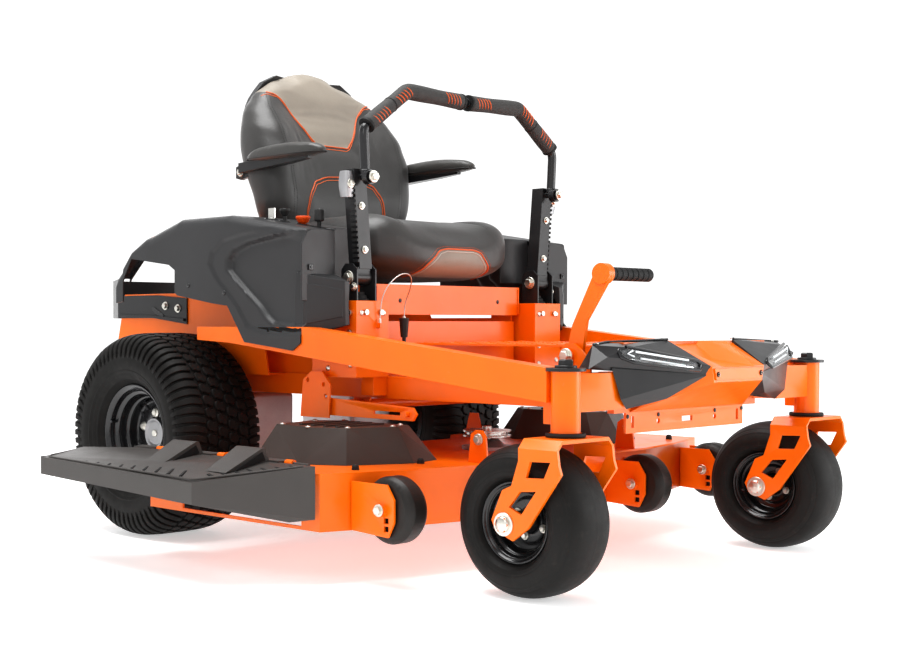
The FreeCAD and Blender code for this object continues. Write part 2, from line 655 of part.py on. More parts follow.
def lift_shaft():
    """Rock shaft with a selector plate and four lift arms."""
    shaft = cyl_x(-440, 440, LIFT_Y, LIFT_Z, LIFT_SHAFT_R)
    pieces = [shaft]
    for sign in (-1, 1):
        x0 = sign * 424 - 4
        arm = side_prism(x0, x0 + 8, [(-515, 352), (-515, 392), (-560, 396), (-860, 382), (-872, 366),
                                      (-860, 350), (-560, 352)])
        slot = box(x0 - 5, x0 + 15, -820, -730, 362, 370)
        pin = cyl_x(x0 - 12, x0 + 20, -845, 366, 7)
        pieces += [arm.cut(slot), pin]
    plate = side_prism(-440, -435, [(-480, 345), (-490, 440), (-520, 462), (-560, 462), (-590, 430),
                                    (-585, 345)])
    for y, z in ((-508, 440), (-566, 430), (-574, 400)):
        plate = plate.cut(cyl_x(-450, -420, y, z, 6))
    return fused(plate, *pieces)


# ---------------------------------------------------------------- cutting deck

FRONT_EDGE = [(-DECK_HALF_WIDTH, -890), (-550, -955), (-350, -995), (0, -1010), (350, -995), (550, -955),
              (DECK_HALF_WIDTH, -890)]
REAR_EDGE = [(DECK_HALF_WIDTH, -268), (668, -268), (655, -330), (300, -345), (190, -440), (-190, -440),
             (-300, -345), (-655, -330), (-668, -268), (-DECK_HALF_WIDTH, -268)]


def roller_bracket(x, y, front_y):
    """Two ears that carry a roller's bolt, welded to the deck's front wall."""
    ears = []
    for side in (-1, 1):
        x0 = x + side * (ROLLER_W / 2 + 6) - 3
        ear = side_prism(x0, x0 + 6, [(front_y + 6, 232), (y - 12, 232), (y - 34, 200), (y - 34, 150),
                                      (y - 16, 116), (front_y + 6, 122)])
        for dz in (-26, -44):
            ear = ear.cut(box(x0 - 5, x0 + 10, y - 18, y - 4, ROLLER_Z + dz, ROLLER_Z + dz + 12))
        ears.append(ear)
    bolt = hex_bolt_x(x - ROLLER_W / 2 - 9, x + ROLLER_W / 2 + 9, y, ROLLER_Z, 8)
    return fused(bolt, *ears)


def wall_strips(outline, thickness, z0, z1):
    """Strips of sheet inside an anticlockwise (x, y) outline, one for each edge, that meet at mitres."""
    corners = [V(x, y, 0) for x, y in outline]
    count = len(corners)
    inner = []
    for n in range(count):
        back = (corners[n] - corners[n - 1]).normalize()
        ahead = (corners[(n + 1) % count] - corners[n]).normalize()
        half = V(-back.y - ahead.y, back.x + ahead.x, 0).normalize()
        inner.append(corners[n] + half * (thickness / half.dot(V(-back.y, back.x, 0))))
    strips = []
    for n in range(count):
        m = (n + 1) % count
        ring = (corners[n], corners[m], inner[m], inner[n])
        strips.append(plan_prism(z0, z1, [(p.x, p.y) for p in ring]))
    return strips


def deck_shell():
    """Top sheet, side walls, roller brackets, hangers and hinge lugs, each a solid that meets the next."""
    outline = FRONT_EDGE + REAR_EDGE
    solid_deck = plan_prism(DECK_Z0, DECK_Z1, outline)
    top = plan_prism(DECK_Z1 - SHEET, DECK_Z1, outline)
    for x, y in SPINDLES.values():
        top = top.cut(cyl_z(240, 260, x, y, 40))
    strips = wall_strips(outline, SHEET, DECK_Z0, DECK_Z1 - SHEET)
    # The right-hand wall, the outline's last edge, has the discharge opening under the chute
    right_wall = strips.pop()
    for y0, y1, z0, z1 in ((-900, -830, 100, 300), (-400, -200, 100, 300), (-830, -400, 100, 128),
                           (-830, -400, 238, 300)):
        strips.append(right_wall.common(box(-800, -700, y0, y1, z0, z1)))
    fittings = both(roller_bracket(-ROLLERS["outer"][0], ROLLERS["outer"][1], -925))
    fittings += both(roller_bracket(-ROLLERS["inner"][0], ROLLERS["inner"][1], -1003))
    hanger = side_prism(-306, -300, [(-990, 249), (-930, 249), (-938, 318), (-952, 328), (-972, 328),
                                     (-984, 312)])
    fittings += both(hanger.cut(cyl_x(-310, -295, -962, 306, 7)))
    fittings += both(side_prism(-306, -300, [(-470, 249), (-400, 249), (-420, 320), (-450, 320)]))
    hinge_rod = cyl_y(-900, -200, -757, 266, 4 + RUNNING_GAP)
    for y in (-800, -560, -320):
        lug = fused(cyl_y(y, y + 24, -757, 266, 9), box(-757, -735, y, y + 24, 249, 262))
        fittings.append(lug.cut(hinge_rod))
    return [top, *strips, *[piece.cut(solid_deck) for piece in fittings]]


def spindle_housing(x, y):
    body = cyl_z(210, 252, x, y, 36)
    flange = cyl_z(250, 260, x, y, 66)
    neck = Part.makeCone(50, 30, 18, V(x, y, 260))
    return fused(body, flange, neck).cut(cyl_z(200, 300, x, y, SPINDLE_R + RUNNING_GAP))


def blade(x, y):
    """Blade with its spindle shaft, bolt and driven pulley."""
    shaft = cyl_z(150, 312, x, y, SPINDLE_R)
    bolt = cyl_z(138, 152, x, y, 19)
    pulley = cyl_z(284, 302, x, y, 64).cut(cyl_z(289, 297, x, y, 80).cut(cyl_z(289, 297, x, y, 54)))
    half = BLADE_LENGTH / 2
    bar = box(x - half, x + half, y - 31, y + 31, 160, 165)
    wings = [hull([(x + s * half, y + s * 31, 165), (x + s * half, y + s * 10, 165),
                   (x + s * (half - 90), y + s * 31, 165),
                   (x + s * (half - 90), y + s * 10, 165), (x + s * half, y + s * 31, 185),
                   (x + s * (half - 70), y + s * 31, 185)]) for s in (-1, 1)]
    return fused(shaft, bolt, pulley, bar, *wings)


def belt_cover():
    low = [(-650, -700), (-620, -505), (-400, -450), (-322, -560), (-322, -845), (-430, -868), (-590, -800)]
    high = [(-600, -690), (-580, -545), (-420, -505), (-366, -570), (-366, -790), (-430, -815), (-560, -770)]
    body = hull([(x, y, DECK_Z1) for x, y in low] + [(x, y, 335) for x, y in high])
    return hollowed(body, (-480, -640, 235), 0.94)


def roller(x, y):
    half = ROLLER_W / 2
    profile = [(-half, 8 + RUNNING_GAP), (-half, ROLLER_R - 16), (-half + 6, ROLLER_R - 6),
               (-half + 16, ROLLER_R),
               (half - 16, ROLLER_R), (half - 6, ROLLER_R - 6), (half, ROLLER_R - 16),
               (half, 8 + RUNNING_GAP)]
    return turned_x(x, y, ROLLER_Z, profile)


def chute():
    """Moulded deflector with a sloping top, a deep front wall, side ribs and hinge gussets."""
    top = hull([(-776, -885, 268), (-980, -705, 232), (-980, -100, 248), (-850, -100, 266), (-776, -262, 270),
                (-776, -885, 262), (-980, -705, 226), (-980, -100, 242), (-850, -100, 260),
                (-776, -262, 264)])
    front = hull([(-776, -890, 268), (-980, -709, 232), (-980, -703, 232), (-776, -884, 268),
                  (-776, -890, 150), (-815, -848, 143), (-815, -842, 143), (-776, -884, 150),
                  (-980, -709, 183), (-980, -703, 183)])
    side = hull([(-980, -705, 232), (-974, -705, 232), (-980, -705, 183), (-974, -705, 183),
                 (-980, -100, 248), (-974, -100, 248), (-980, -100, 205), (-974, -100, 205)])
    back = box(-980, -850, -106, -100, 205, 250)
    pieces = [top, front, side, back]
    for y in (-740, -500):
        pieces.append(hull([(-776, y, 265), (-776, y + 90, 265), (-800, y, 300), (-800, y + 90, 300),
                            (-900, y + 10, 250), (-900, y + 80, 250), (-790, y, 300), (-790, y + 90, 300)]))
    for y in (-775, -535, -295):
        pieces.append(fused(cyl_y(y, y + 70, -757, 266, 8), box(-782, -757, y, y + 70, 264, 272)))
    rod = cyl_y(-850, -270, -757, 266, 4)
    return fused(rod, *pieces)


# ---------------------------------------------------------------- hand controls

def throttle_lever():
    foot = cyl_x(CONTROL_X - 4, CONTROL_X + 4, THROTTLE_Y, 800, 10)
    stalk = box(CONTROL_X - 3, CONTROL_X + 3, THROTTLE_Y - 5, THROTTLE_Y + 5, 800, 850)
    paddle = rounded(box(CONTROL_X - 9, CONTROL_X + 9, THROTTLE_Y - 12, THROTTLE_Y + 12, 842, 874), 5)
    return fused(foot, stalk, paddle)


def knob(y, stem_r, cap_r, height):
    """Pull knob on a stem through the console."""
    top = console_z(y) + height
    stem = cyl_z(console_z(y) - 36, top - 8, CONTROL_X, y, stem_r)
    cap = Part.makeCone(cap_r * 0.62, cap_r, 12, V(CONTROL_X, y, top - 18))
    lid = cyl_z(top - 6, top, CONTROL_X, y, cap_r)
    return fused(stem, cap, lid)


def ignition_key():
    barrel = cyl_z(console_z(KEY_Y) - 24, console_z(KEY_Y) + 5, CONTROL_X, KEY_Y, 9)
    bow = box(CONTROL_X - 2, CONTROL_X + 2, KEY_Y - 12, KEY_Y + 12, console_z(KEY_Y) + 4,
              console_z(KEY_Y) + 30)
    return fused(barrel, bow)


def height_pin():
    """Selector pin with its tapered handle, stored upright in the foot deck."""
    shank = cyl_z(505, 552, PIN_X, PIN_Y, 5)
    handle = Part.makeCone(9, 13, PIN_TOP_Z - 548, V(PIN_X, PIN_Y, 548))
    return fused(shank, handle)


def pin_lanyard():
    """Wire rope from the tower's front face to the top of the pin's handle."""
    bends = widest_bends(LANYARD_ROUTE)
    print("lanyard bend radii, mm:", [round(b) for b in bends])
    rope = rod_along(LANYARD_ROUTE, LANYARD_R, bends)
    runs = [(V(*b) - V(*a)).Length for a, b in zip(LANYARD_ROUTE, LANYARD_ROUTE[1:])]
    print("lanyard volume over section times run length:",
          rope.Volume / (math.pi * LANYARD_R ** 2 * sum(runs)))
    return rope


os.makedirs("parts", exist_ok=True)
beam = front_beam()
platform = foot_deck()
rail = side_rail(beam)
fairing = front_fairing(beam, platform)
cover = side_fairing(rail)
block = engine_block()

save("main_frame", *main_frame())
save("side_rails", *both(rail))
save("front_beam", beam)
save("caster_caps", *both(caster_cap()))
save("foot_deck", platform)
save_pair("front_fairing", fairing)
save("headlights", *both(headlight(fairing)))
save("towers", fused(tower(), lanyard_clip()), mirrored(tower()))
save("lever_brackets", *both(lever_bracket()))
save("side_fairing_right", cover.cut(Part.makeCompound(console_holes())))
save("side_fairing_left", mirrored(cover))
save("rear_hood", rear_hood())
save("rear_bumper", rear_bumper())
save("engine_block", block)
save("blower_shroud", blower_shroud())
save("muffler", muffler(block))
save("transaxles", *both(transaxle()))
save_pair("caster_fork", caster_fork())
save_pair("front_tyre", tyre_ring(-TRACK_X, FRONT_AXLE_Y, FRONT_R, FRONT_R, FRONT_W, FRONT_BEAD_R,
                                  FRONT_BEAD_W, 38, 12))
save_pair("front_rim", front_rim())
save_pair("rear_tyre", tyre_ring(-TRACK_X, 0, REAR_R, REAR_R, REAR_W, REAR_BEAD_R, REAR_BEAD_W, 40, 16))
save_pair("rear_rim", rear_rim())
save_pair("lever_base", lever_base())
save_pair("lever_arm", lever_arm())
save_pair("lever_grip", lever_grip())
save("seat_pan", seat_pan())
save("seat_cushion", seat_cushion())
save("seat_back", seat_back())
save_pair("armrest", armrest())
save("lift_pedal", lift_pedal())
save("foot_peg", foot_peg())
save("lift_shaft", lift_shaft())
save("deck_shell", *deck_shell())
save("spindle_housings", *[spindle_housing(x, y) for x, y in SPINDLES.values()])
save("belt_covers", *both(belt_cover()))
save("chute", chute())
for place, (x, y) in SPINDLES.items():
    save("blade_" + place, blade(x, y))
for place, (x, y) in ROLLERS.items():
    save_pair("roller_" + place, roller(-x, y))
save("throttle_lever", throttle_lever())
save("choke_knob", knob(CHOKE_Y, 5, 14, 34))
save("clutch_knob", knob(CLUTCH_Y, 7, 19, 22))
save("ignition_key", ignition_key())
save("height_pin", height_pin())
save("pin_lanyard", pin_lanyard())
save("frame_bolts", *frame_bolts())
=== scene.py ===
import bmesh
import bpy
import json
import math
from mathutils import Matrix, Vector


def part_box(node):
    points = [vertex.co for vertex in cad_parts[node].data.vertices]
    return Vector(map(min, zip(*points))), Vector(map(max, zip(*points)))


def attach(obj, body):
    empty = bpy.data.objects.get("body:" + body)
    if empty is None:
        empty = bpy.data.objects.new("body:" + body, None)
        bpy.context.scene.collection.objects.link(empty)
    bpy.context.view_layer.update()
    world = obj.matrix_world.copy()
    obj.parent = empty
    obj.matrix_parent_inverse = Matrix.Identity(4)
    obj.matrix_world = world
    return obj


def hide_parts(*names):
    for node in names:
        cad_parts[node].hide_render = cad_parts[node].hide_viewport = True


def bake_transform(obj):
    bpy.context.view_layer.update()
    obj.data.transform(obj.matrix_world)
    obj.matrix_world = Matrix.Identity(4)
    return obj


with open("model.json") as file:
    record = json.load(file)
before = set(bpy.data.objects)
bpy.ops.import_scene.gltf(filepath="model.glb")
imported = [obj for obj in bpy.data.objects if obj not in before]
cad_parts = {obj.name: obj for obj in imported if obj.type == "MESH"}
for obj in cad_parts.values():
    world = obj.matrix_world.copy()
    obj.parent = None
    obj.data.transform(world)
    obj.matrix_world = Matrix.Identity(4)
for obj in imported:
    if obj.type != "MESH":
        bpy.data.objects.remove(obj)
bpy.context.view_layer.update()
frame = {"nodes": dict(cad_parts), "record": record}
NODES = frame["nodes"]
BODY_OF = {n: b for b, group in frame["record"]["behaviour"]["bodies"].items() for n in group}

# ---------------------------------------------------------------- places
# Shapes are worked out in the own millimetres: x = 0 is the centre plane, +x the operator's left,
# forward is -y, z = 0 is the ground and y = 0 is the rear axle. ORIGIN is that point in the row frame.
_right, _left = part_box("rear_tyre_right"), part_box("rear_tyre_left")
ORIGIN = Vector(((_right[0].x + _left[1].x) / 2, (_right[0].y + _right[1].y) / 2, 0))
TO_ROW = Matrix.Translation(ORIGIN) @ Matrix.Scale(0.001, 4)


def row(x, y, z):
    return TO_ROW @ Vector((x, y, z))


# ---------------------------------------------------------------- materials

class Nodes:
    """Short way to write a node tree that ends in a Principled shader."""

    def __init__(self, name):
        self.mat = bpy.data.materials.new(name)
        self.mat.use_nodes = True
        self.tree = self.mat.node_tree
        self.bsdf = self.tree.nodes["Principled BSDF"]
        self.where = self.add("ShaderNodeTexCoord").outputs["Object"]

    def add(self, kind, **settings):
        node = self.tree.nodes.new(kind)
        for key, value in settings.items():
            if hasattr(node, key):
                setattr(node, key, value)
            else:
                node.inputs[key.replace("_", " ")].default_value = value
        return node

    def link(self, a, b):
        self.tree.links.new(a, b)

    def noise(self, scale, detail=3.0, rough=0.55, stretch=None):
        node = self.add("ShaderNodeTexNoise", Scale=scale, Detail=detail, Roughness=rough)
        vector = self.where
        if stretch:
            mapping = self.add("ShaderNodeMapping")
            mapping.inputs["Scale"].default_value = stretch
            self.link(vector, mapping.inputs["Vector"])
            vector = mapping.outputs["Vector"]
        self.link(vector, node.inputs["Vector"])
        return node.outputs["Fac"]

    def ramp(self, value, stops):
        node = self.add("ShaderNodeValToRGB")
        elements = node.color_ramp.elements
        while len(elements) < len(stops):
            elements.new(0.5)
        for element, (place, colour) in zip(elements, stops):
            element.position = place
            element.color = colour if len(colour) == 4 else (*colour, 1)
        self.link(value, node.inputs["Fac"])
        return node.outputs["Color"]

    def maths(self, operation, a, b=None, clamp=False):
        node = self.add("ShaderNodeMath", operation=operation, use_clamp=clamp)
        for slot, value in zip(node.inputs, (a, b)):
            if value is None:
                continue
            if isinstance(value, (int, float)):
                slot.default_value = value
            else:
                self.link(value, slot)
        return node.outputs["Value"]

    def mix(self, factor, a, b):
        node = self.add("ShaderNodeMix", data_type="RGBA")
        for slot, value in ((node.inputs["Factor"], factor), (node.inputs[6], a), (node.inputs[7], b)):
            if isinstance(value, (tuple, list)):
                slot.default_value = (*value, 1) if len(value) == 3 else value
            elif isinstance(value, (int, float)):
                slot.default_value = value
            else:
                self.link(value, slot)
        return node.outputs[2]

    def bump(self, height, strength, distance=0.001, normal=None):
        node = self.add("ShaderNodeBump", Strength=strength, Distance=distance)
        self.link(height, node.inputs["Height"])
        if normal is not None:
            self.link(normal, node.inputs["Normal"])
        self.link(node.outputs["Normal"], self.bsdf.inputs["Normal"])
        return node.outputs["Normal"]

    def set(self, **sockets):
        for key, value in sockets.items():
            socket = self.bsdf.inputs[key.replace("_", " ")]
            if isinstance(value, (int, float)):
                socket.default_value = value
            elif isinstance(value, (tuple, list)):
                socket.default_value = (*value, 1) if len(value) == 3 else value
            else:
                self.link(value, socket)
        return self


def srgb(r, g, b):
    def linear(c):
        c /= 255
        return c / 12.92 if c <= 0.04045 else ((c + 0.055) / 1.055) ** 2.4
    return linear(r), linear(g), linear(b)


def scaled(colour, k):
    return tuple(min(1.0, c * k) for c in colour)


def paint(name, colour, rough, coat=0.14, mottle=0.06):
    """Powder-coated steel: slight colour drift, fine orange peel and rubbed, duller patches."""
    n = Nodes(name)
    drift = n.noise(6.0, 4.0)
    shade = n.ramp(drift, [(0.3, scaled(colour, 1 - mottle)), (0.7, scaled(colour, 1 + mottle))])
    dust = n.ramp(n.noise(38.0, 6.0, 0.7), [(0.62, (0, 0, 0)), (0.8, (1, 1, 1))])
    n.set(Base_Color=n.mix(n.maths("MULTIPLY", dust, 0.12), shade, (0.32, 0.27, 0.22)))
    n.set(Roughness=n.maths("ADD", n.maths("MULTIPLY", n.noise(22.0, 5.0), 0.22), rough - 0.11))
    n.set(Coat_Weight=coat, Coat_Roughness=0.18, Specular_IOR_Level=0.24)
    n.bump(n.noise(950.0, 2.0), 0.06, 0.0006)
    return n.mat


def plastic(name, colour, rough, grain=1500.0, depth=0.16, mottle=0.08, scuff=0.1):
    """Moulded plastic with a fine leather-like grain and faint scuffs."""
    n = Nodes(name)
    shade = n.ramp(n.noise(5.0, 4.0), [(0.3, scaled(colour, 1 - mottle)), (0.7, scaled(colour, 1 + mottle))])
    scratch = n.ramp(n.noise(30.0, 8.0, 0.75, (1, 6, 3)), [(0.6, (0, 0, 0)), (0.75, (1, 1, 1))])
    n.set(Base_Color=n.mix(n.maths("MULTIPLY", scratch, scuff), shade, scaled(colour, 2.2)))
    n.set(Roughness=n.maths("ADD", n.maths("MULTIPLY", n.noise(16.0, 5.0), 0.2), rough - 0.1))
    cells = n.add("ShaderNodeTexVoronoi", Scale=grain)
    n.link(n.where, cells.inputs["Vector"])
    n.bump(cells.outputs["Distance"], depth, 0.0004)
    n.set(Specular_IOR_Level=0.32)
    return n.mat


def metal(name, colour, rough, brushed=(1, 1, 1), spread=0.15):
    n = Nodes(name)
    shade = n.ramp(n.noise(14.0, 5.0), [(0.25, scaled(colour, 0.86)), (0.75, colour)])
    n.set(Base_Color=shade, Metallic=1.0)
    streaks = n.noise(160.0, 3.0, 0.6, brushed)
    n.set(Roughness=n.maths("ADD", n.maths("MULTIPLY", streaks, spread), rough - spread / 2))
    n.bump(streaks, 0.05, 0.0004)
    return n.mat


def rubber(name, colour, rough, rings=None):
    """Tyre rubber: brownish dust in the low places, fine pebbling."""
    n = Nodes(name)
    shade = n.ramp(n.noise(9.0, 5.0), [(0.3, scaled(colour, 0.85)), (0.75, scaled(colour, 1.2))])
    dust = n.ramp(n.noise(60.0, 7.0, 0.7), [(0.55, (0, 0, 0)), (0.85, (1, 1, 1))])
    n.set(Base_Color=n.mix(n.maths("MULTIPLY", dust, 0.2), shade, (0.09, 0.075, 0.06)))
    n.set(Roughness=n.maths("ADD", n.maths("MULTIPLY", n.noise(40.0, 4.0), 0.24), rough - 0.12))
    n.bump(n.noise(700.0, 4.0, 0.6), 0.22, 0.0006)
    n.set(Specular_IOR_Level=0.2)
    return n.mat


def vinyl(name, colour, rough, grain=900.0, depth=0.3):
    """Upholstery vinyl: pebbled grain, soft sheen and slight wear."""
    n = Nodes(name)
    shade = n.ramp(n.noise(7.0, 4.0), [(0.3, scaled(colour, 0.9)), (0.7, scaled(colour, 1.1))])
    wear = n.ramp(n.noise(24.0, 6.0, 0.65), [(0.55, (0, 0, 0)), (0.8, (1, 1, 1))])
    n.set(Base_Color=n.mix(n.maths("MULTIPLY", wear, 0.12), shade, scaled(colour, 1.9)))
    n.set(Roughness=n.maths("ADD", n.maths("MULTIPLY", n.noise(30.0, 5.0), 0.16), rough - 0.08))
    n.set(Sheen_Weight=0.12, Sheen_Roughness=0.4)
    cells = n.add("ShaderNodeTexVoronoi", Scale=grain, feature="SMOOTH_F1")
    n.link(n.where, cells.inputs["Vector"])
    creases = n.noise(70.0, 4.0, 0.6, (1.0, 1.0, 2.5))
    fine = n.bump(cells.outputs["Distance"], depth, 0.0005)
    n.bump(creases, 0.10, 0.003, fine)
    return n.mat


def foam(name, colour):
    """Grip foam: fine open cells, darkened towards each cell's hollow middle with painted shade."""
    n = Nodes(name)
    cells = n.add("ShaderNodeTexVoronoi", Scale=1300.0)
    n.link(n.where, cells.inputs["Vector"])
    # Painted shade: the colour is darker at each cell's middle, where the bump dips
    shade = n.ramp(cells.outputs["Distance"], [(0.0, scaled(colour, 0.7)), (0.6, colour)])
    n.set(Base_Color=shade, Roughness=n.maths("ADD", n.maths("MULTIPLY", n.noise(60.0, 3.0), 0.2), 0.62))
    n.bump(cells.outputs["Distance"], 0.5, 0.0006)
    return n.mat


def clear_lens(name):
    n = Nodes(name)
    n.set(Base_Color=n.ramp(n.noise(30.0, 2.0), [(0, (0.93, 0.95, 0.97)), (1, (1, 1, 1))]))
    n.set(Roughness=0.06, Transmission_Weight=0.92, IOR=1.45, Coat_Weight=0.3)
    return n.mat


ORANGE = srgb(238, 108, 0)
MAT = {
    "orange": paint("orange_powder", ORANGE, 0.36, 0.3),
    "black": paint("black_powder", (0.018, 0.018, 0.019), 0.34, 0.3, 0.2),
    "gloss": paint("gloss_black", (0.012, 0.012, 0.013), 0.2, 0.6, 0.2),
    "fairing": plastic("fairing_plastic", srgb(52, 52, 53), 0.38),
    "chute": plastic("chute_plastic", srgb(70, 67, 65), 0.4),
    "cover": plastic("cover_plastic", srgb(62, 54, 50), 0.4),
    "knob": plastic("knob_plastic", (0.02, 0.02, 0.02), 0.4),
    "orange_knob": plastic("orange_plastic", srgb(225, 80, 10), 0.38, mottle=0.04, scuff=0.05),
    "seal": rubber("seal_rubber", (0.02, 0.02, 0.02), 0.6),
    "tyre": rubber("tyre_rubber", srgb(25, 24, 23), 0.6),
    "smooth_tyre": rubber("balloon_rubber", srgb(29, 28, 27), 0.56),
    "roller": plastic("roller_plastic", srgb(34, 31, 29), 0.44),
    "vinyl": vinyl("black_vinyl", srgb(56, 55, 54), 0.4),
    "pad_vinyl": vinyl("pad_vinyl", srgb(58, 57, 55), 0.4),
    "taupe": vinyl("taupe_vinyl", srgb(132, 124, 113), 0.5),
    "orange_cord": vinyl("orange_piping", srgb(196, 84, 24), 0.5),
    "pale_cord": vinyl("silver_piping", srgb(176, 170, 162), 0.4),
    "orange_thread": vinyl("orange_thread", srgb(206, 92, 30), 0.6),
    "dark_thread": vinyl("dark_thread", srgb(38, 37, 36), 0.6),
    "foam": foam("grip_foam", srgb(56, 55, 54)),
    "lens": clear_lens("clear_lens"),
    "led": plastic("light_guide", srgb(232, 236, 238), 0.25),
    # Painted shade: near-black plastic for the chute's vent slits and the ends of its gussets
    "painted_shade": plastic("slit_shadow", srgb(24, 24, 24), 0.7),
    "wire": metal("pale_wire", srgb(206, 206, 203), 0.42),
    "steel": metal("bright_steel", (0.62, 0.61, 0.58), 0.28),
    "zinc": metal("zinc_plate", (0.72, 0.70, 0.64), 0.34),
    "cast": metal("cast_alloy", (0.42, 0.42, 0.43), 0.5, spread=0.25),
    "dark_metal": metal("dark_metal", (0.10, 0.10, 0.105), 0.45),
}


# ---------------------------------------------------------------- mesh building

def lathe(profile, segments=96, closed=True):
    """Points and faces of an (x, r) profile turned about X; closed joins its last point to its first."""
    points, faces, n = [], [], len(profile)
    for k in range(segments):
        a = 2 * math.pi * k / segments
        points += [(x, r * math.cos(a), r * math.sin(a)) for x, r in profile]
    for k in range(segments):
        i, j = k * n, (k + 1) % segments * n
        for m in range(n if closed else n - 1):
            w = (m + 1) % n
            faces.append((i + m, i + w, j + w, j + m))
    if not closed:
        faces.append(tuple(k * n for k in range(segments)))
        faces.append(tuple(k * n + n - 1 for k in range(segments)))
    return points, faces


def loft(rings, caps=True):
    """Points and faces through rings that all have the same number of points."""
    n = len(rings[0])
    points = [p for ring in rings for p in ring]
    faces = []
    for k in range(len(rings) - 1):
        for m in range(n):
            w = (m + 1) % n
            faces.append((k * n + m, k * n + w, (k + 1) * n + w, (k + 1) * n + m))
    if caps:
        faces.append(tuple(range(n)))
        faces.append(tuple(range((len(rings) - 1) * n, len(rings) * n)))
    return points, faces


def prism(axis, a, b, outline):
    """Plate with an outline in the plane across the axis, from a to b along it."""
    def at(u, v, w):
        return {"x": (w, u, v), "y": (u, w, v), "z": (u, v, w)}[axis]
    return loft([[at(u, v, w) for u, v in outline] for w in (a, b)])


def block(x0, x1, y0, y1, z0, z1):
    return prism("z", z0, z1, [(x0, y0), (x1, y0), (x1, y1), (x0, y1)])


def catmull(points, per=8):
    """Points on a smooth curve through the given ones."""
    p = [Vector(q) for q in points]
    p = [2 * p[0] - p[1]] + p + [2 * p[-1] - p[-2]]
    out = []
    for a, b, c, d in zip(p, p[1:], p[2:], p[3:]):
        for k in range(per):
            t = k / per
            out.append(0.5 * (2 * b + (c - a) * t + (2 * a - 5 * b + 4 * c - d) * t * t
                              + (3 * b - a - 3 * c + d) * t ** 3))
    return out + [p[-2]]


def filleted(points, bend, per=6):
    """Straight runs joined by arcs of the given bend radius."""
    p = [Vector(q) for q in points]
    out = [p[0]]
    for a, b, c in zip(p, p[1:], p[2:]):
        back, ahead = (a - b).normalized(), (c - b).normalized()
        trim = bend / math.tan(back.angle(ahead) / 2)
        trim = min(trim, 0.48 * (a - b).length, 0.48 * (c - b).length)
        start, end = b + back * trim, b + ahead * trim
        for k in range(per + 1):
            t = k / per
            out.append(start * (1 - t) ** 2 + b * 2 * t * (1 - t) + end * t * t)
    return out + [p[-1]]


def frames(path):
    """Point, sideways and upward direction along a path, without twist."""
    path = [Vector(p) for p in path]
    side, out = None, []
    for k, p in enumerate(path):
        ahead = (path[min(k + 1, len(path) - 1)] - path[max(k - 1, 0)]).normalized()
        if side is None:
            side = ahead.orthogonal().normalized()
        side = (side - ahead * side.dot(ahead)).normalized()
        out.append((p, side, ahead.cross(side)))
    return out


def tube(path, radius, sides=16):
    """Tube along a path; radius is a number, or one for each point."""
    path = list(path)
    radii = radius if isinstance(radius, (list, tuple)) else [radius] * len(path)
    rings = []
    for (p, side, up), r in zip(frames(path), radii):
        rings.append([p + side * r * math.cos(2 * math.pi * k / sides)
                      + up * r * math.sin(2 * math.pi * k / sides) for k in range(sides)])
    return loft(rings)


def aimed(place, direction):
    """Matrix that puts a shape made along +X at a place, along a direction."""
    return Matrix.Translation(place) @ Vector(direction).to_track_quat("X", "Z").to_matrix().to_4x4()


class Shape:
    """Gathers mesh parts in machine millimetres and becomes one object with one or more finishes."""

    def __init__(self, name, body, *looks):
        self.name, self.body, self.looks = name, body, looks
        self.points, self.faces, self.marks = [], [], []

    def add(self, part, look=0, at=None):
        points, faces = part
        base = len(self.points)
        self.points += [at @ Vector(p) if at else Vector(p) for p in points]
        self.faces += [tuple(base + i for i in f) for f in faces]
        self.marks += [look] * len(faces)
        return self

    def mirror(self):
        """Adds the mirror image of everything so far across the centre plane."""
        flipped = [Vector((-p.x, p.y, p.z)) for p in self.points]
        base = len(self.points)
        self.faces += [tuple(base + i for i in reversed(f)) for f in self.faces]
        self.points += flipped
        self.marks += self.marks[:]
        return self

    def bolt(self, place, direction, radius, look=0, washer=True):
        """Hexagon head with a chamfer and a washer, standing on a face at place."""
        r, at = radius, aimed(place, direction)
        if washer:
            self.add(lathe([(-1, 0.2), (-1, 1.55 * r), (0.22 * r, 1.55 * r), (0.3 * r, 1.45 * r),
                            (0.3 * r, 0.2)],
                           28, False), look, at)
        rings = [[(x, q * math.cos(math.pi * k / 3), q * math.sin(math.pi * k / 3)) for k in range(6)]
                 for x, q in ((0, 1.12 * r), (0.95 * r, 1.12 * r), (1.12 * r, 0.92 * r))]
        self.add(loft(rings), look, at)
        return self

    def dome(self, place, direction, radius, look=0, height=0.55):
        """Round-headed bolt or rivet."""
        profile = [(-1, 0.1), (-1, radius), (0.12 * radius, radius)]
        for k in range(1, 6):
            a = k * math.pi / 12
            profile.append((radius * (0.12 + (height - 0.12) * math.sin(a)), radius * math.cos(a)))
        profile.append((radius * height, 0.1))
        self.add(lathe(profile, 24, False), look, aimed(place, direction))
        return self

    def make(self, bevel=0.0, angle=30.0, stands_for=(), segments=2):
        mesh = bpy.data.meshes.new(self.name)
        mesh.from_pydata(self.points, [], self.faces)
        for look in self.looks:
            mesh.materials.append(MAT[look])
        mesh.polygons.foreach_set("material_index", self.marks)
        bm = bmesh.new()
        bm.from_mesh(mesh)
        bmesh.ops.recalc_face_normals(bm, faces=bm.faces)
        bm.to_mesh(mesh)
        bm.free()
        mesh.transform(TO_ROW)
        obj = bpy.data.objects.new(self.name, mesh)
        bpy.context.scene.collection.objects.link(obj)
        finish_mesh(obj, self.body, bevel, angle, segments)
        if stands_for:
            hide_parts(*stands_for)
        return obj


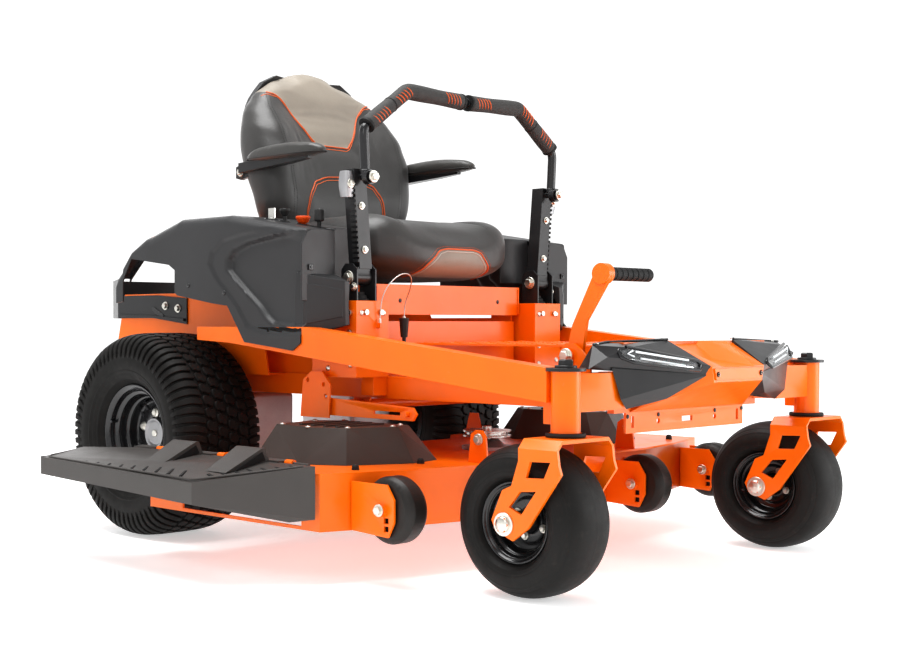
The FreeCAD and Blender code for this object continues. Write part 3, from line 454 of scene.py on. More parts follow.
def finish_mesh(obj, body, bevel=0.0, angle=30.0, segments=2):
    """Smooth shading with sharp edges by angle, a small round on the edges, and the body it rides on."""
    obj.data.polygons.foreach_set("use_smooth", [True] * len(obj.data.polygons))
    obj.data.set_sharp_from_angle(angle=math.radians(angle))
    if bevel:
        m = obj.modifiers.new("edges", "BEVEL")
        m.width = bevel / 1000
        m.segments = segments
        m.limit_method = "ANGLE"
        m.angle_limit = math.radians(angle)
        m.harden_normals = True
        m.miter_outer = "MITER_ARC"
        m.use_clamp_overlap = True
    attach(obj, body)
    return obj


def refined(node, look, bevel=1.0, angle=30.0):
    """The CAD node's own shape with its flat faces joined and its edges rounded; it stands for the node."""
    bm = bmesh.new()
    bm.from_mesh(NODES[node].data)
    bmesh.ops.remove_doubles(bm, verts=bm.verts, dist=1e-6)
    bmesh.ops.dissolve_limit(bm, angle_limit=math.radians(0.6), verts=bm.verts, edges=bm.edges)
    mesh = bpy.data.meshes.new(node + "_skin")
    bm.to_mesh(mesh)
    bm.free()
    obj = bpy.data.objects.new(node + "_skin", mesh)
    bpy.context.scene.collection.objects.link(obj)
    mesh.materials.append(MAT[look])
    finish_mesh(obj, BODY_OF[node], bevel, angle)
    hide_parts(node)
    return obj


# ---------------------------------------------------------------- wheels

TRACK_X, REAR_Z, FRONT_Z = 510, 279, 165
FRONT_Y, PIVOT_Y = -1285, -1368


class Tread:
    """Outer line of a tyre's cross section, measured along itself from the middle of the tread."""

    def __init__(self, half):
        line = catmull([(s, r, 0) for s, r in half], 10)
        self.line = [(p.x, p.y) for p in line]
        self.run = [0.0]
        for a, b in zip(self.line, self.line[1:]):
            self.run.append(self.run[-1] + math.dist(a, b))

    def at(self, t, height, angle):
        """Point at a distance along the line, a height above it and an angle round the wheel."""
        sign, t = (-1 if t < 0 else 1), abs(t)
        k = max(i for i, u in enumerate(self.run[:-1]) if u <= t)
        (s0, r0), (s1, r1) = self.line[k], self.line[k + 1]
        f = (t - self.run[k]) / (self.run[k + 1] - self.run[k])
        ds, dr = s1 - s0, r1 - r0
        size = math.hypot(ds, dr)
        s, r = s0 + ds * f - dr / size * height, r0 + dr * f + ds / size * height
        return sign * s, r * math.cos(angle), r * math.sin(angle)


def tyre_body(half, bead, grooves=()):
    """Closed ring: the outer line on both sides, joined through the bead."""
    line = [(p.x, p.y) for p in catmull([(s, r, 0) for s, r in half], 10)]
    out = []
    for s, r in line:
        for groove_r, depth, width in grooves:
            gap = (r - groove_r) / width
            s -= depth * math.exp(-gap * gap) * (1 if s > 20 else 0)
        out.append((s, r))
    out += bead
    return [(-s, r) for s, r in reversed(out)] + out


REAR_LINE = [(0, 272), (50, 271.6), (85, 269.5), (108, 263), (124, 250), (132.5, 232), (137, 210), (137, 190),
             (130, 168), (118, 151), (107, 142), (103, 139.6)]


def rear_tyre(side):
    name = "left" if side > 0 else "right"
    shape = Shape("rear_tread_" + name, "rear_wheel_" + name, "tyre")
    at = Matrix.Translation((side * TRACK_X, 0, REAR_Z))
    grooves = ((226, 1.6, 1.6), (176, -1.4, 2.0), (169, 1.2, 1.6), (153, -2.2, 2.6))
    shape.add(lathe(tyre_body(REAR_LINE, [(102.4, 133), (102.4, 127.2)], grooves), 160), 0, at)
    tread = Tread(REAR_LINE)
    high, sunk = 6.9, -1.5
    # Middle blocks: four staggered rows of stepped hexagons
    outline = [(-15.5, -8.5), (-15.5, 2.5), (-10.5, 11), (-3, 11), (3, 16), (10.5, 16), (15.5, 9.5),
               (15.5, -1.5),
               (10.5, -10), (3, -10), (-3, -15), (-10.5, -15)]
    rounds = 50
    for lane, t0 in enumerate((-54, -18, 18, 54)):
        for k in range(rounds):
            a0 = 2 * math.pi * (k + 0.5 * (lane % 2)) / rounds
            rings = []
            for height, inset in ((sunk, 1.06), (high - 1.6, 1.0), (high, 0.9)):
                rings.append([tread.at(t0 + u * inset, height, a0 + (v - 0.5) * inset / REAR_Z) for u,
                              v in outline])
            points, faces = loft(rings, False)
            points.append(tread.at(t0, high + 0.1, a0))
            faces += [(24 + m, 24 + (m + 1) % 12, 36) for m in range(12)]
            shape.add((points, faces), 0, at)
    # Shoulder lugs, from the outer lane over the shoulder onto the sidewall
    rounds = 68
    for sign in (-1, 1):
        for k in range(rounds):
            a0 = 2 * math.pi * (k + 0.25 * sign) / rounds
            rings = []
            for t, shift, wide, h in ((73, 7.5, 5.0, 0.88), (76, 6.5, 8.2, 1), (88, 3.5, 9.0, 1),
                                      (102, 0.5, 9.2, 1),
                                      (116, 0, 9.0, 1), (130, 0, 8.6, 1), (143, 0, 8.0, 0.95), (155, 0, 7.2,
                                                                                                0.7),
                                      (165, 0, 6.4, 0.32), (171, 0, 5.6, 0.02)):
                radius = math.hypot(*tread.at(t, 0, 0)[1:])
                grow = radius / REAR_Z
                ring = []
                for v, height in ((-1.06, sunk), (-1, high * h - 1.6 * h), (-0.82, high * h),
                                  (0.82, high * h),
                                  (1, high * h - 1.6 * h), (1.06, sunk)):
                    ring.append(tread.at(sign * t, height, a0 + (v * wide * grow + shift) / radius))
                rings.append(ring)
            shape.add(loft(rings), 0, at)
    shape.make(angle=38, stands_for=["rear_tyre_" + name])


FRONT_LINE = [(0, 164.8), (22, 164), (42, 160.5), (58, 153.5), (70, 143), (78, 130), (82, 116), (80, 104),
              (73.5, 95), (65, 90.5), (60, 88.6)]


def front_tyre(side):
    name = "left" if side > 0 else "right"
    shape = Shape("front_tread_" + name, "front_wheel_" + name, "smooth_tyre")
    grooves = ((146, 1.2, 1.2), (138, -0.9, 1.6), (110, 0.8, 1.2), (100, -1.0, 1.6))
    shape.add(lathe(tyre_body(FRONT_LINE, [(58.9, 84), (58.9, 76.4)], grooves), 128), 0,
              Matrix.Translation((side * TRACK_X, FRONT_Y, FRONT_Z)))
    shape.make(angle=50, stands_for=["front_tyre_" + name])


def shell(profile, wall):
    """Closed profile of a thin pressed sheet that follows the given (x, r) line."""
    inner = []
    for k, (x, r) in enumerate(profile):
        a, b = profile[max(k - 1, 0)], profile[min(k + 1, len(profile) - 1)]
        dx, dr = b[0] - a[0], b[1] - a[1]
        size = math.hypot(dx, dr)
        inner.append((x - dr / size * wall, r + dx / size * wall))
    return profile + inner[::-1]


def rear_rim(side):
    name = "left" if side > 0 else "right"
    shape = Shape("rear_wheel_rim_" + name, "rear_wheel_" + name, "gloss", "zinc", "cast", "dark_metal")
    flip = Matrix.Identity(4) if side < 0 else Matrix.Scale(-1, 4, (1, 0, 0))
    at = Matrix.Translation((side * TRACK_X, 0, REAR_Z)) @ flip
    dish = catmull([(-104, 138.5, 0), (-107.6, 137.5, 0), (-107.6, 133.5, 0), (-104, 128, 0), (-99, 123, 0),
                    (-90, 121.5, 0), (-84, 119, 0), (-81, 112, 0), (-76, 108.5, 0), (-60, 107, 0), (-54,
                                                                                                    104, 0),
                    (-50, 98, 0), (-34, 96.5, 0), (-26, 93, 0), (-24, 84, 0), (-29, 74, 0), (-31, 66, 0),
                    (-31, 48, 0), (-27, 43, 0)], 4)
    shape.add(lathe(shell([(p.x, p.y) for p in dish], 3.2), 120), 0, at)
    back = [(108.2, 138.8), (103, 136), (102.6, 124), (96, 121), (60, 118), (40, 104), (-22, 101), (-22, 97),
            (36, 99.5), (56, 113.5), (96, 116.5), (105.5, 121), (107, 133)]
    shape.add(lathe(back, 120), 0, at)
    hub = [(-40, 41), (-30, 42), (132, 42), (132, 15), (-35.2, 15), (-35.2, 31), (-38, 34), (-40, 36)]
    shape.add(lathe(hub, 64), 2, at)
    shape.add(lathe([(-35.4, 0.2), (-35.4, 15), (-33, 16), (205, 15), (205, 0.2)], 32, False), 2, at)
    shape.add(lathe([(-39.5, 0.2), (-39.5, 9), (-38, 11), (-33, 11), (-33, 0.2)], 6, False), 1, at)
    for k in range(5):
        a = 2 * math.pi * k / 5 + 0.3
        place = at @ Vector((-31, 57 * math.cos(a), 57 * math.sin(a)))
        shape.add(lathe([(0, 0.2), (0, 13), (-3, 13.5), (-6, 9.5), (-6, 0.2)], 24, False), 1,
                  Matrix.Translation(place) @ flip)
        shape.bolt(place, (-1 if side < 0 else 1, 0, 0), 8.2, 1, False)
        for n in (0.5, 0):
            hole = 2 * math.pi * (k + 0.5 * n) / 5 + 0.62
            ring = [(84 + 9 * math.cos(q), 4.6 * math.sin(q)) for q in [2 * math.pi * m / 20 for m in range(20)]]
            pts = [(0, u * math.cos(hole) - v * math.sin(hole), u * math.sin(hole) + v * math.cos(hole))
                   for u, v in ring]
            shape.add(loft([[(-27.5 + d, y, z) for _, y, z in pts] for d in (0, 3)]), 3, at)
    # Valve stem
    shape.add(tube([(-104, 112, 30), (-92, 113.5, 30), (-78, 116, 30)], [3.2, 3.2, 5.5], 12), 3, at)
    shape.make(bevel=0.0, angle=32, stands_for=["rear_rim_" + name])


def front_rim(side):
    name = "left" if side > 0 else "right"
    shape = Shape("front_wheel_rim_" + name, "front_wheel_" + name, "gloss", "zinc", "dark_metal")
    at = Matrix.Translation((side * TRACK_X, FRONT_Y, FRONT_Z))
    for sign in (-1, 1):
        flip = Matrix.Scale(sign, 4, (1, 0, 0))
        dish = catmull([(60, 87.4, 0), (64.4, 87, 0), (64.8, 83.5, 0), (60.5, 79.5, 0), (56.5, 75, 0),
                        (52, 73.2, 0),
                        (47, 72.6, 0), (43, 68.5, 0), (39, 66.2, 0), (27, 65, 0), (20, 61, 0), (16, 52, 0),
                        (10, 44, 0), (8, 30, 0), (12, 25.5, 0)], 4)
        points = [(p.x, p.y) for p in dish]
        shape.add(lathe(shell(points, -2.6), 96), 0, at @ flip)
        shape.add(lathe([(10, 24), (66, 24), (72, 22), (80, 19), (80, 9.7), (10, 9.7)], 48), 2, at @ flip)
        shape.add(lathe([(70, 14), (70, 24.5), (75, 24.5), (76.5, 21), (76.5, 14)], 48), 1, at @ flip)
        for k in range(4):
            a = math.pi * k / 2 + 0.4
            place = at @ Vector((sign * 9.5, 37 * math.cos(a), 37 * math.sin(a)))
            shape.bolt(place, (sign, 0, 0), 6.0, 1, True)
    shape.add(tube([(-50, 66, -18), (-40, 67.5, -18), (-30, 69.5, -18)], [2.8, 2.8, 4.6], 12), 2, at)
    shape.make(angle=32, stands_for=["front_rim_" + name])


for side in (-1, 1):
    rear_tyre(side)
    front_tyre(side)
    rear_rim(side)
    front_rim(side)


# ---------------------------------------------------------------- seat

def along(table, value):
    """Smoothly interpolated value of a table of (position, value) pairs."""
    if value <= table[0][0]:
        return table[0][1]
    for (a, u), (b, v) in zip(table, table[1:]):
        if value <= b:
            t = (value - a) / (b - a)
            return u + (v - u) * t * t * (3 - 2 * t)
    return table[-1][1]


def bump(value, middle, spread):
    return math.exp(-((value - middle) / spread) ** 2)


def rounded_cube(cuts, power):
    """Bmesh of a cube grid pushed onto a superellipsoid, each coordinate from -1 to 1."""
    bm = bmesh.new()
    bmesh.ops.create_cube(bm, size=2)
    bmesh.ops.subdivide_edges(bm, edges=bm.edges, cuts=cuts, use_grid_fill=True)
    for v in bm.verts:
        size = sum(abs(c) ** power for c in v.co) ** (1 / power)
        v.co /= size
    return bm


BACK_WIDTH = [(705, 212), (760, 240), (850, 272), (930, 289), (1000, 298), (1060, 300), (1130, 296),
              (1190, 284),
              (1240, 258), (1285, 218), (1320, 158), (1340, 98)]
BACK_FRONT = [(705, -186), (850, -200), (950, -206), (1050, -178), (1120, -140), (1220, -98), (1336, -58)]
BACK_REAR = [(705, -122), (900, -84), (1105, -26), (1250, -6), (1336, -14)]
BACK_BOLSTER = [(705, 4), (820, 14), (950, 26), (1060, 50), (1110, 58), (1180, 44), (1260, 14), (1336, 0)]


def back_point(p):
    """Place on the seat back of a point of the unit superellipsoid."""
    z = 1020 + 314 * p.z
    half = along(BACK_WIDTH, z)
    front, rear = along(BACK_FRONT, z), along(BACK_REAR, z)
    middle, depth = (front + rear) / 2, (rear - front) / 2
    x = half * p.x
    y = middle + depth * p.y
    if p.y < 0.6:
        share = min(1, 0.6 - p.y)
        y -= along(BACK_BOLSTER, z) * bump(abs(p.x), 0.82, 0.24) * share
    return Vector((x, y, z))


def cushion_point(p):
    """Place on the seat cushion of a point of the unit superellipsoid."""
    y = -420 + 222 * p.y
    half = along([(-1, 276), (-0.3, 294), (0.2, 295), (1, 280)], p.z)
    half *= along([(-642, 0.955), (-580, 1.0), (-200, 0.985)], y)
    crown = along([(-642, 822), (-580, 856), (-400, 862), (-200, 876)], y)
    low = along([(-642, 704), (-580, 700), (-200, 700)], y)
    top = crown + along([(-642, 26), (-540, 38), (-380, 28), (-200, 8)], y) * bump(abs(p.x), 0.84, 0.26)
    z = (low + top) / 2 + (top - low) / 2 * p.z
    return Vector((half * p.x, y, z))


CLOTH_FRAMES, PRESSURE = 14, 4


def padded_form(name, shape, body, looks, seams, swell, voxel=6.5, cuts=22, power=3.6, stands_for=()):
    """Closed padded form, blown up by a cloth simulation that is held along its seams."""
    bm = rounded_cube(cuts, power)
    for v in bm.verts:
        v.co = TO_ROW @ shape(v.co)
    mesh = bpy.data.meshes.new(name)
    bm.to_mesh(mesh)
    bm.free()
    obj = bpy.data.objects.new(name, mesh)
    bpy.context.scene.collection.objects.link(obj)
    remesh = obj.modifiers.new("voxels", "REMESH")
    remesh.mode = "VOXEL"
    remesh.voxel_size = voxel / 1000
    applied(obj)
    rest = [v.co.copy() for v in obj.data.vertices]
    held = obj.vertex_groups.new(name="held")
    back = TO_ROW.inverted()
    for v in obj.data.vertices:
        gap = seams(back @ v.co)
        if gap < 9:
            held.add([v.index], 1.0 if gap < 5 else 0.5, "REPLACE")
    cloth = obj.modifiers.new("cloth", "CLOTH")
    cloth.settings.quality = 5
    cloth.settings.use_pressure = True
    cloth.settings.uniform_pressure_force = PRESSURE
    cloth.settings.effector_weights.gravity = 0
    cloth.settings.tension_stiffness = 12
    cloth.settings.compression_stiffness = 12
    cloth.settings.vertex_group_mass = "held"
    cloth.collision_settings.use_collision = False
    for frame_number in range(1, CLOTH_FRAMES + 1):
        bpy.context.scene.frame_set(frame_number)
    applied(obj)
    for v, start in zip(obj.data.vertices, rest):
        move = v.co - start
        if move.length > swell / 1000:
            v.co = start + move.normalized() * swell / 1000
    bpy.context.scene.frame_set(1)
    smooth = obj.modifiers.new("smooth", "CORRECTIVE_SMOOTH")
    smooth.iterations = 4
    smooth.use_only_smooth = True
    detail = obj.modifiers.new("finer", "SUBSURF")
    detail.levels = detail.render_levels = 1
    applied(obj)
    for look in looks:
        obj.data.materials.append(MAT[look])
    obj.data.polygons.foreach_set("use_smooth", [True] * len(obj.data.polygons))
    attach(obj, body)
    if stands_for:
        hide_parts(*stands_for)
    return obj


def applied(obj):
    """Replaces an object's mesh with what its modifiers make of it."""
    bpy.context.view_layer.update()
    made = bpy.data.meshes.new_from_object(obj.evaluated_get(bpy.context.evaluated_depsgraph_get()))
    obj.modifiers.clear()
    obj.vertex_groups.clear()
    obj.data = made


def skin_point(obj, place, direction, lift):
    """Where a line through a machine point meets the piece's surface, lifted off it, in millimetres."""
    start = TO_ROW @ (Vector(place) - Vector(direction) * 400)
    hit, spot, normal, _ = obj.ray_cast(start, Vector(direction))
    if not hit:
        return None
    return TO_ROW.inverted() @ (spot + normal * lift / 1000)


def on_skin(obj, line, direction, lift=1.0, step=6):
    """A line of machine points, made closer and laid on the piece's surface."""
    out = []
    for a, b in zip(line, line[1:]):
        count = max(1, round((Vector(b) - Vector(a)).length / step))
        for k in range(count):
            out.append(skin_point(obj, Vector(a).lerp(Vector(b), k / count), direction, lift))
    out.append(skin_point(obj, line[-1], direction, lift))
    return [p for p in out if p is not None]


def stitches(shape, line, look, gap=7.0, radius=0.75):
    """Row of short threads along a line."""
    left, point = 0.0, Vector(line[0])
    for target in line[1:]:
        target = Vector(target)
        while (target - point).length > gap - left:
            point = point + (target - point).normalized() * (gap - left)
            left = 0.0
            ahead = (target - point).normalized()
            shape.add(tube([point - ahead * gap * 0.34, point, point + ahead * gap * 0.34],
                           [radius * 0.4, radius, radius * 0.4], 6), look)
        left += (target - point).length
        point = target


V_LINE = [(0, 1103), (60, 1103), (82, 1122), (118, 1170), (150, 1218), (180, 1244), (216, 1252), (250, 1240),
          (276, 1220)]
ARCH = [(0, 1011), (72, 1006), (118, 990), (148, 952), (158, 905), (152, 830)]
BOLSTER_SEAM = [(206, 1246), (226, 1200), (232, 1120), (224, 1040), (214, 950), (208, 860), (200, 790)]


def line_gap(p, line):
    """Distance in the (x, z) plane from a point to a line given for the left half."""
    q, best = Vector((abs(p.x), p.z)), 1e9
    for a, b in zip(line, line[1:]):
        a, b = Vector(a), Vector(b)
        t = max(0, min(1, (q - a).dot(b - a) / (b - a).length_squared))
        best = min(best, (q - a - (b - a) * t).length)
    return best


def both_sides(line, y):
    """A (x, z) line for the left half, joined to its mirror image."""
    right = [(-x, y, z) for x, z in reversed(line)]
    return right + [(x, y, z) for x, z in line[1:]]


def seat_back():
    def seams(p):
        front = p.y < (along(BACK_FRONT, p.z) + along(BACK_REAR, p.z)) / 2
        rear_edge = abs(p.y - along(BACK_REAR, p.z) + 18) if abs(p.x) > along(BACK_WIDTH, p.z) - 60 else 99
        if not front:
            return 0 if p.y > along(BACK_REAR, p.z) - 14 else rear_edge
        return min(line_gap(p, V_LINE), line_gap(p, ARCH), line_gap(p, BOLSTER_SEAM))
    looks = ["vinyl", "taupe"]
    obj = padded_form("backrest_cover", back_point, "seat", looks, seams, 11, power=3.2,
                      stands_for=["seat_back"])
    back = TO_ROW.inverted()
    for face in obj.data.polygons:
        c = back @ face.center
        edge = next((z0 + (z1 - z0) * (abs(c.x) - x0) / (x1 - x0) for (x0, z0), (x1, z1)
                     in zip(V_LINE, V_LINE[1:]) if x0 <= abs(c.x) < x1), 1222)
        face.material_index = 1 if c.z > edge and (face.normal.y < 0.25 or c.z > 1300) else 0
    trim = Shape("backrest_piping", "seat", "orange_cord", "orange_thread", "dark_thread")
    for line in (V_LINE, ARCH):
        path = on_skin(obj, both_sides(line, -300), (0, 1, 0), 0.6, 10)
        trim.add(tube(catmull(path[::2] + [path[-1]], 4), 2.0, 10), 0)
        shifted = [(x * 0.97, z - 9) for x, z in line]
        path = on_skin(obj, both_sides(shifted, -300), (0, 1, 0), 0.3, 10)
        trim.add(tube(catmull(path[::2] + [path[-1]], 4), 1.2, 8), 1)
    for sign in (-1, 1):
        for shift, look in ((-5, 2), (5, 2)):
            path = [(sign * (x + shift), -400, z) for x, z in BOLSTER_SEAM]
            stitches(trim, on_skin(obj, path, (0, 1, 0), 0.3), look)
    trim.make(angle=60)
    # Hard shell behind the cover
    shell = Shape("backrest_shell", "seat", "fairing")
    rings = []
    for k in range(25):
        z = 712 + 600 * k / 24
        half, rear = along(BACK_WIDTH, z) - 34, along(BACK_REAR, z)
        ring = []
        for m in range(17):
            u = -1 + 2 * m / 16
            ring.append((half * u, rear + 3 - 20 * abs(u) ** 3, z))
        ring += [(x * 0.98, y - 16, zz) for x, y, zz in reversed(ring)]
        rings.append(ring)
    shell.add(loft(rings))
    for z in (800, 860, 920, 980):
        shell.add(block(-110, 110, along(BACK_REAR, z) + 1, along(BACK_REAR, z) + 8, z, z + 14))
    shell.make(bevel=2.0, angle=35)


INSET = [(0, 783), (58, 783), (84, 776), (126, 738), (150, 694)]


def seat_cushion():
    def seams(p):
        if p.z < 712 or p.y > -215:
            return 0
        if p.y < -610 and p.z < 800:
            return line_gap(p, INSET)
        inner = abs(abs(p.x) - 178) if p.z > 800 else 99
        outer = abs(abs(p.x) - 256) if p.z > 815 else 99
        return min(inner, outer, abs(p.z - 800) if p.y > -610 and abs(p.x) > 240 else 99)
    looks = ["vinyl", "taupe"]
    obj = padded_form("cushion_cover", cushion_point, "seat", looks, seams, 9, power=3.4,
                      stands_for=["seat_cushion"])
    back = TO_ROW.inverted()
    for face in obj.data.polygons:
        c = back @ face.center
        edge = next((z0 + (z1 - z0) * (abs(c.x) - x0) / (x1 - x0) for (x0, z0), (x1, z1)
                     in zip(INSET, INSET[1:]) if x0 <= abs(c.x) < x1), 0)
        face.material_index = 1 if 703 < c.z < edge and face.normal.y < -0.2 and c.y < -560 else 0
    trim = Shape("cushion_piping", "seat", "orange_cord", "pale_cord", "dark_thread")
    path = on_skin(obj, both_sides(INSET, -700), (0, 1, 0), 0.6, 9)
    trim.add(tube(catmull(path[::2] + [path[-1]], 4), 2.2, 10), 0)
    inner = [(x * 0.93, 783 - (783 - z) * 0.96 - 7) for x, z in INSET]
    trim.add(tube(catmull(on_skin(obj, both_sides(inner, -700), (0, 1, 0), 0.2, 12), 3), 1.5, 8), 1)
    outer = [(x * 1.05 + 3, z + 6) for x, z in INSET]
    stitches(trim, on_skin(obj, both_sides(outer, -700), (0, 1, 0), 0.4), 0)
    for sign in (-1, 1):
        for x in (173, 183):
            line = [(sign * x, y, 1000) for y in (-215, -300, -400, -500, -560, -590)]
            stitches(trim, on_skin(obj, line, (0, 0, -1), 0.3), 2)
    trim.make(angle=60)


ARM_X, ARM_PIVOT_Y, ARM_PIVOT_Z = 305, -75, 1014
PAD_Y, PAD_HALF_LENGTH = -276, 154


def armrest(side):
    """Crowned pad with its seam, on the folding arm."""
    name = "left" if side > 0 else "right"
    arm = Shape("arm_bracket_" + name, "armrest_" + name, "black", "zinc")
    s = side
    # Folded bracket that narrows toward the front, with its stop and pivot boss behind
    arm.add(loft([[(s * (305 - w), y, z0), (s * (305 + w), y, z0), (s * (305 + w), y, z1),
                   (s * (305 - w), y, z1)]
                  for y, w, z0, z1 in ((-372, 8, 1028, 1038), (-300, 14, 1022, 1038), (-150, 18, 1012, 1038),
                                       (-96, 18, 1008, 1036))]), 0)
    arm.add(loft([[(s * x, y, z) for x, z in ((283, z0), (294, z0), (294, z1), (283, z1))]
                  for y, z0, z1 in ((-170, 1012, 1036), (-110, 1000, 1034), (-75, 992, 1036),
                                    (-52, 998, 1030))]), 0)
    arm.add(lathe([(280, 0.1), (280, 17), (283, 19), (294, 19), (296, 17), (296, 0.1)], 40, False), 0,
            aimed((0, ARM_PIVOT_Y, ARM_PIVOT_Z), (s, 0, 0)))
    arm.bolt((s * 296, ARM_PIVOT_Y, ARM_PIVOT_Z), (s, 0, 0), 8, 1)
    arm.make(bevel=1.2, stands_for=["armrest_" + name])

    def pad_point(p):
        y = PAD_Y + PAD_HALF_LENGTH * p.y
        half = along([(-430, 26), (-400, 31), (-300, 32), (-150, 30), (-124, 26)], y)
        top = along([(-430, 1060), (-390, 1068), (-300, 1072), (-180, 1070), (-124, 1060)], y) + 4
        low = 1032
        return Vector((side * ARM_X + half * p.x * 1.03, y, (top + low) / 2 + (top - low) / 2 * p.z))

    padded_form("arm_pad_" + name, pad_point, "armrest_" + name, ["pad_vinyl"],
                lambda p: 0 if p.z < 1040 else 99, 2.5, voxel=4.5, cuts=16, power=3.0)
    seam = Shape("arm_pad_seam_" + name, "armrest_" + name, "dark_thread")
    ring = []
    for k in range(73):
        a = 2 * math.pi * k / 72
        c, s = math.cos(a), math.sin(a)
        scale = (abs(c) ** 3.4 + abs(s) ** 3.4) ** (-1 / 3.4)
        ring.append((side * ARM_X + 29.6 * c * scale, PAD_Y + 152.4 * s * scale, 1043))
    seam.add(tube(ring, 1.5, 8))
    seam.make(angle=40)


def seat_base():
    refined("seat_pan", "orange", 1.6)
    fittings = Shape("seat_pan_fittings", "seat", "zinc", "black")
    for x in (-292, 292):
        fittings.bolt((math.copysign(296, x), -580, 630), (math.copysign(1, x), 0, 0), 9, 0)
    for x in (-200, 200):
        fittings.dome((x, -604.8, 644), (0, -1, 0), 6, 1)
    fittings.make(bevel=0.4)


seat_back()
seat_cushion()
armrest(-1)
armrest(1)
seat_base()


# ---------------------------------------------------------------- steering levers

LEVER_TUBE_R, GRIP_R, BEND_R = 12.5, 20.4, 38
SWING_X, SWING_Z = 379, 950
LEVER_ROUTE = [(-379, -653, 958), (-386, -653, 1073), (-227, -653, 1182), (-8, -653, 1176)]


def path_stretch(path, start, end):
    """The part of a path between two shares of its length."""
    path = [Vector(p) for p in path]
    steps = [0.0]
    for a, b in zip(path, path[1:]):
        steps.append(steps[-1] + (b - a).length)

    def at(share):
        want = share * steps[-1]
        for k in range(len(path) - 1):
            if want <= steps[k + 1]:
                t = (want - steps[k]) / max(1e-9, steps[k + 1] - steps[k])
                return path[k].lerp(path[k + 1], t)
        return path[-1]
    count = max(4, round((end - start) * steps[-1] / 5))
    return [at(start + (end - start) * k / count) for k in range(count + 1)]


def grip_slashes(shape, path, start, end, count, side, look):
    """Slanted coloured bars let into the grip's face."""
    for k in range(count):
        share = start + (end - start) * k / max(1, count - 1)
        piece = path_stretch(path, share, share + 0.022)
        ring = []
        for (p, _, _), t in zip(frames(piece), range(len(piece))):
            ahead = (piece[-1] - piece[0]).normalized()
            out = Vector((0, -1, 0))
            across = ahead.cross(out).normalized()
            turn = -0.75 + 1.5 * t / (len(piece) - 1)
            ring.append(p + (out * math.cos(turn) + across * math.sin(turn)) * GRIP_R)
        shape.add(tube(ring, [0.7] + [1.7] * (len(ring) - 2) + [0.7], 8), look)


def lever(side):
    name = "left" if side > 0 else "right"
    flip = [(-side * x, y, z) for x, y, z in LEVER_ROUTE]
    bent = filleted(flip, BEND_R, 10)
    arm = Shape("lever_tube_" + name, "handle_" + name, "gloss", "zinc")
    arm.add(tube(bent, LEVER_TUBE_R, 24), 0)
    arm.add(lathe([(-3, 0.1), (-3, 19), (14, 19), (15, 17), (15, 0.1)], 40, False), 0,
            aimed((side * SWING_X, -672, SWING_Z), (0, 1, 0)))
    arm.add(lathe([(0, 0.1), (0, 14.4), (10, 14.4), (12, 12.8), (12, 0.1)], 32, False), 0,
            aimed(flip[0], Vector(flip[1]) - Vector(flip[0])))
    arm.make(bevel=0.8, stands_for=["lever_arm_" + name])

    whole = path_stretch(bent, 0.24, 0.985)
    radii = []
    for k in range(len(whole)):
        t = k / (len(whole) - 1)
        swell = 1.0 + 0.035 * math.sin(14 * t)
        end = min(1, (t + 0.004) / 0.012, (1.004 - t) / 0.012)
        radii.append(GRIP_R * swell * (0.86 + 0.14 * math.sqrt(max(0, min(1, end)))))
    grip = Shape("grip_sleeve_" + name, "handle_" + name, "foam", "orange_cord", "seal")
    grip.add(tube(whole, radii, 28), 0)
    for share, width in ((0.245, 1.0), (0.985, 1.0)):
        ring = path_stretch(bent, max(0.0, share - 0.006), min(1.0, share + 0.006))
        grip.add(tube(ring, 22.0, 28), 2)
    for share in (0.44, 0.62):
        grip.add(tube(path_stretch(bent, share, share + 0.006), 20.9, 28), 2)
    grip_slashes(grip, bent, 0.47, 0.56, 5, side, 1)
    grip_slashes(grip, bent, 0.84, 0.93, 5, side, 1)
    grip_slashes(grip, bent, 0.28, 0.37, 5, side, 1)
    obj = grip.make(angle=50, stands_for=["lever_grip_" + name])

    refined("lever_base_" + name, "black", 1.4)
    extra = Shape("lever_fittings_" + name, "lever_" + name, "zinc", "knob", "cast")
    # Serrated adjusting strip down the channel's outer edge
    for k in range(16):
        z = 738 + 13 * k
        x = 386 + (z - 722) * 0.088
        extra.add(block(side * x - 2.5, side * x + 2.5, -639.5, -621, z, z + 7), 1)
    extra.bolt((side * SWING_X, -683, SWING_Z), (0, -1, 0), 10, 0)
    extra.bolt((side * 365, -638.5, 770), (0, -1, 0), 6.5, 0)
    extra.bolt((side * 377, -638.5, 880), (0, -1, 0), 6.5, 0)
    # Clamp handle: a ribbed cast lobe on the outer side
    lobe = []
    for k in range(9):
        t = k / 8
        z = 966 - 66 * t
        w = 13 + 4 * math.sin(math.pi * t)
        d = 14 + 3 * math.sin(math.pi * t)
        cx = side * (414 - 3 * t)
        lobe.append([(cx + w * math.copysign(abs(math.cos(a)) ** 0.6, math.cos(a)),
                      -620 + d * math.copysign(abs(math.sin(a)) ** 0.6, math.sin(a)), z)
                     for a in [2 * math.pi * m / 20 for m in range(20)]])
    extra.add(loft(lobe), 2)
    extra.bolt((side * 414, -637, 934), (0, -1, 0), 7.5, 0)
    extra.make(bevel=0.7)


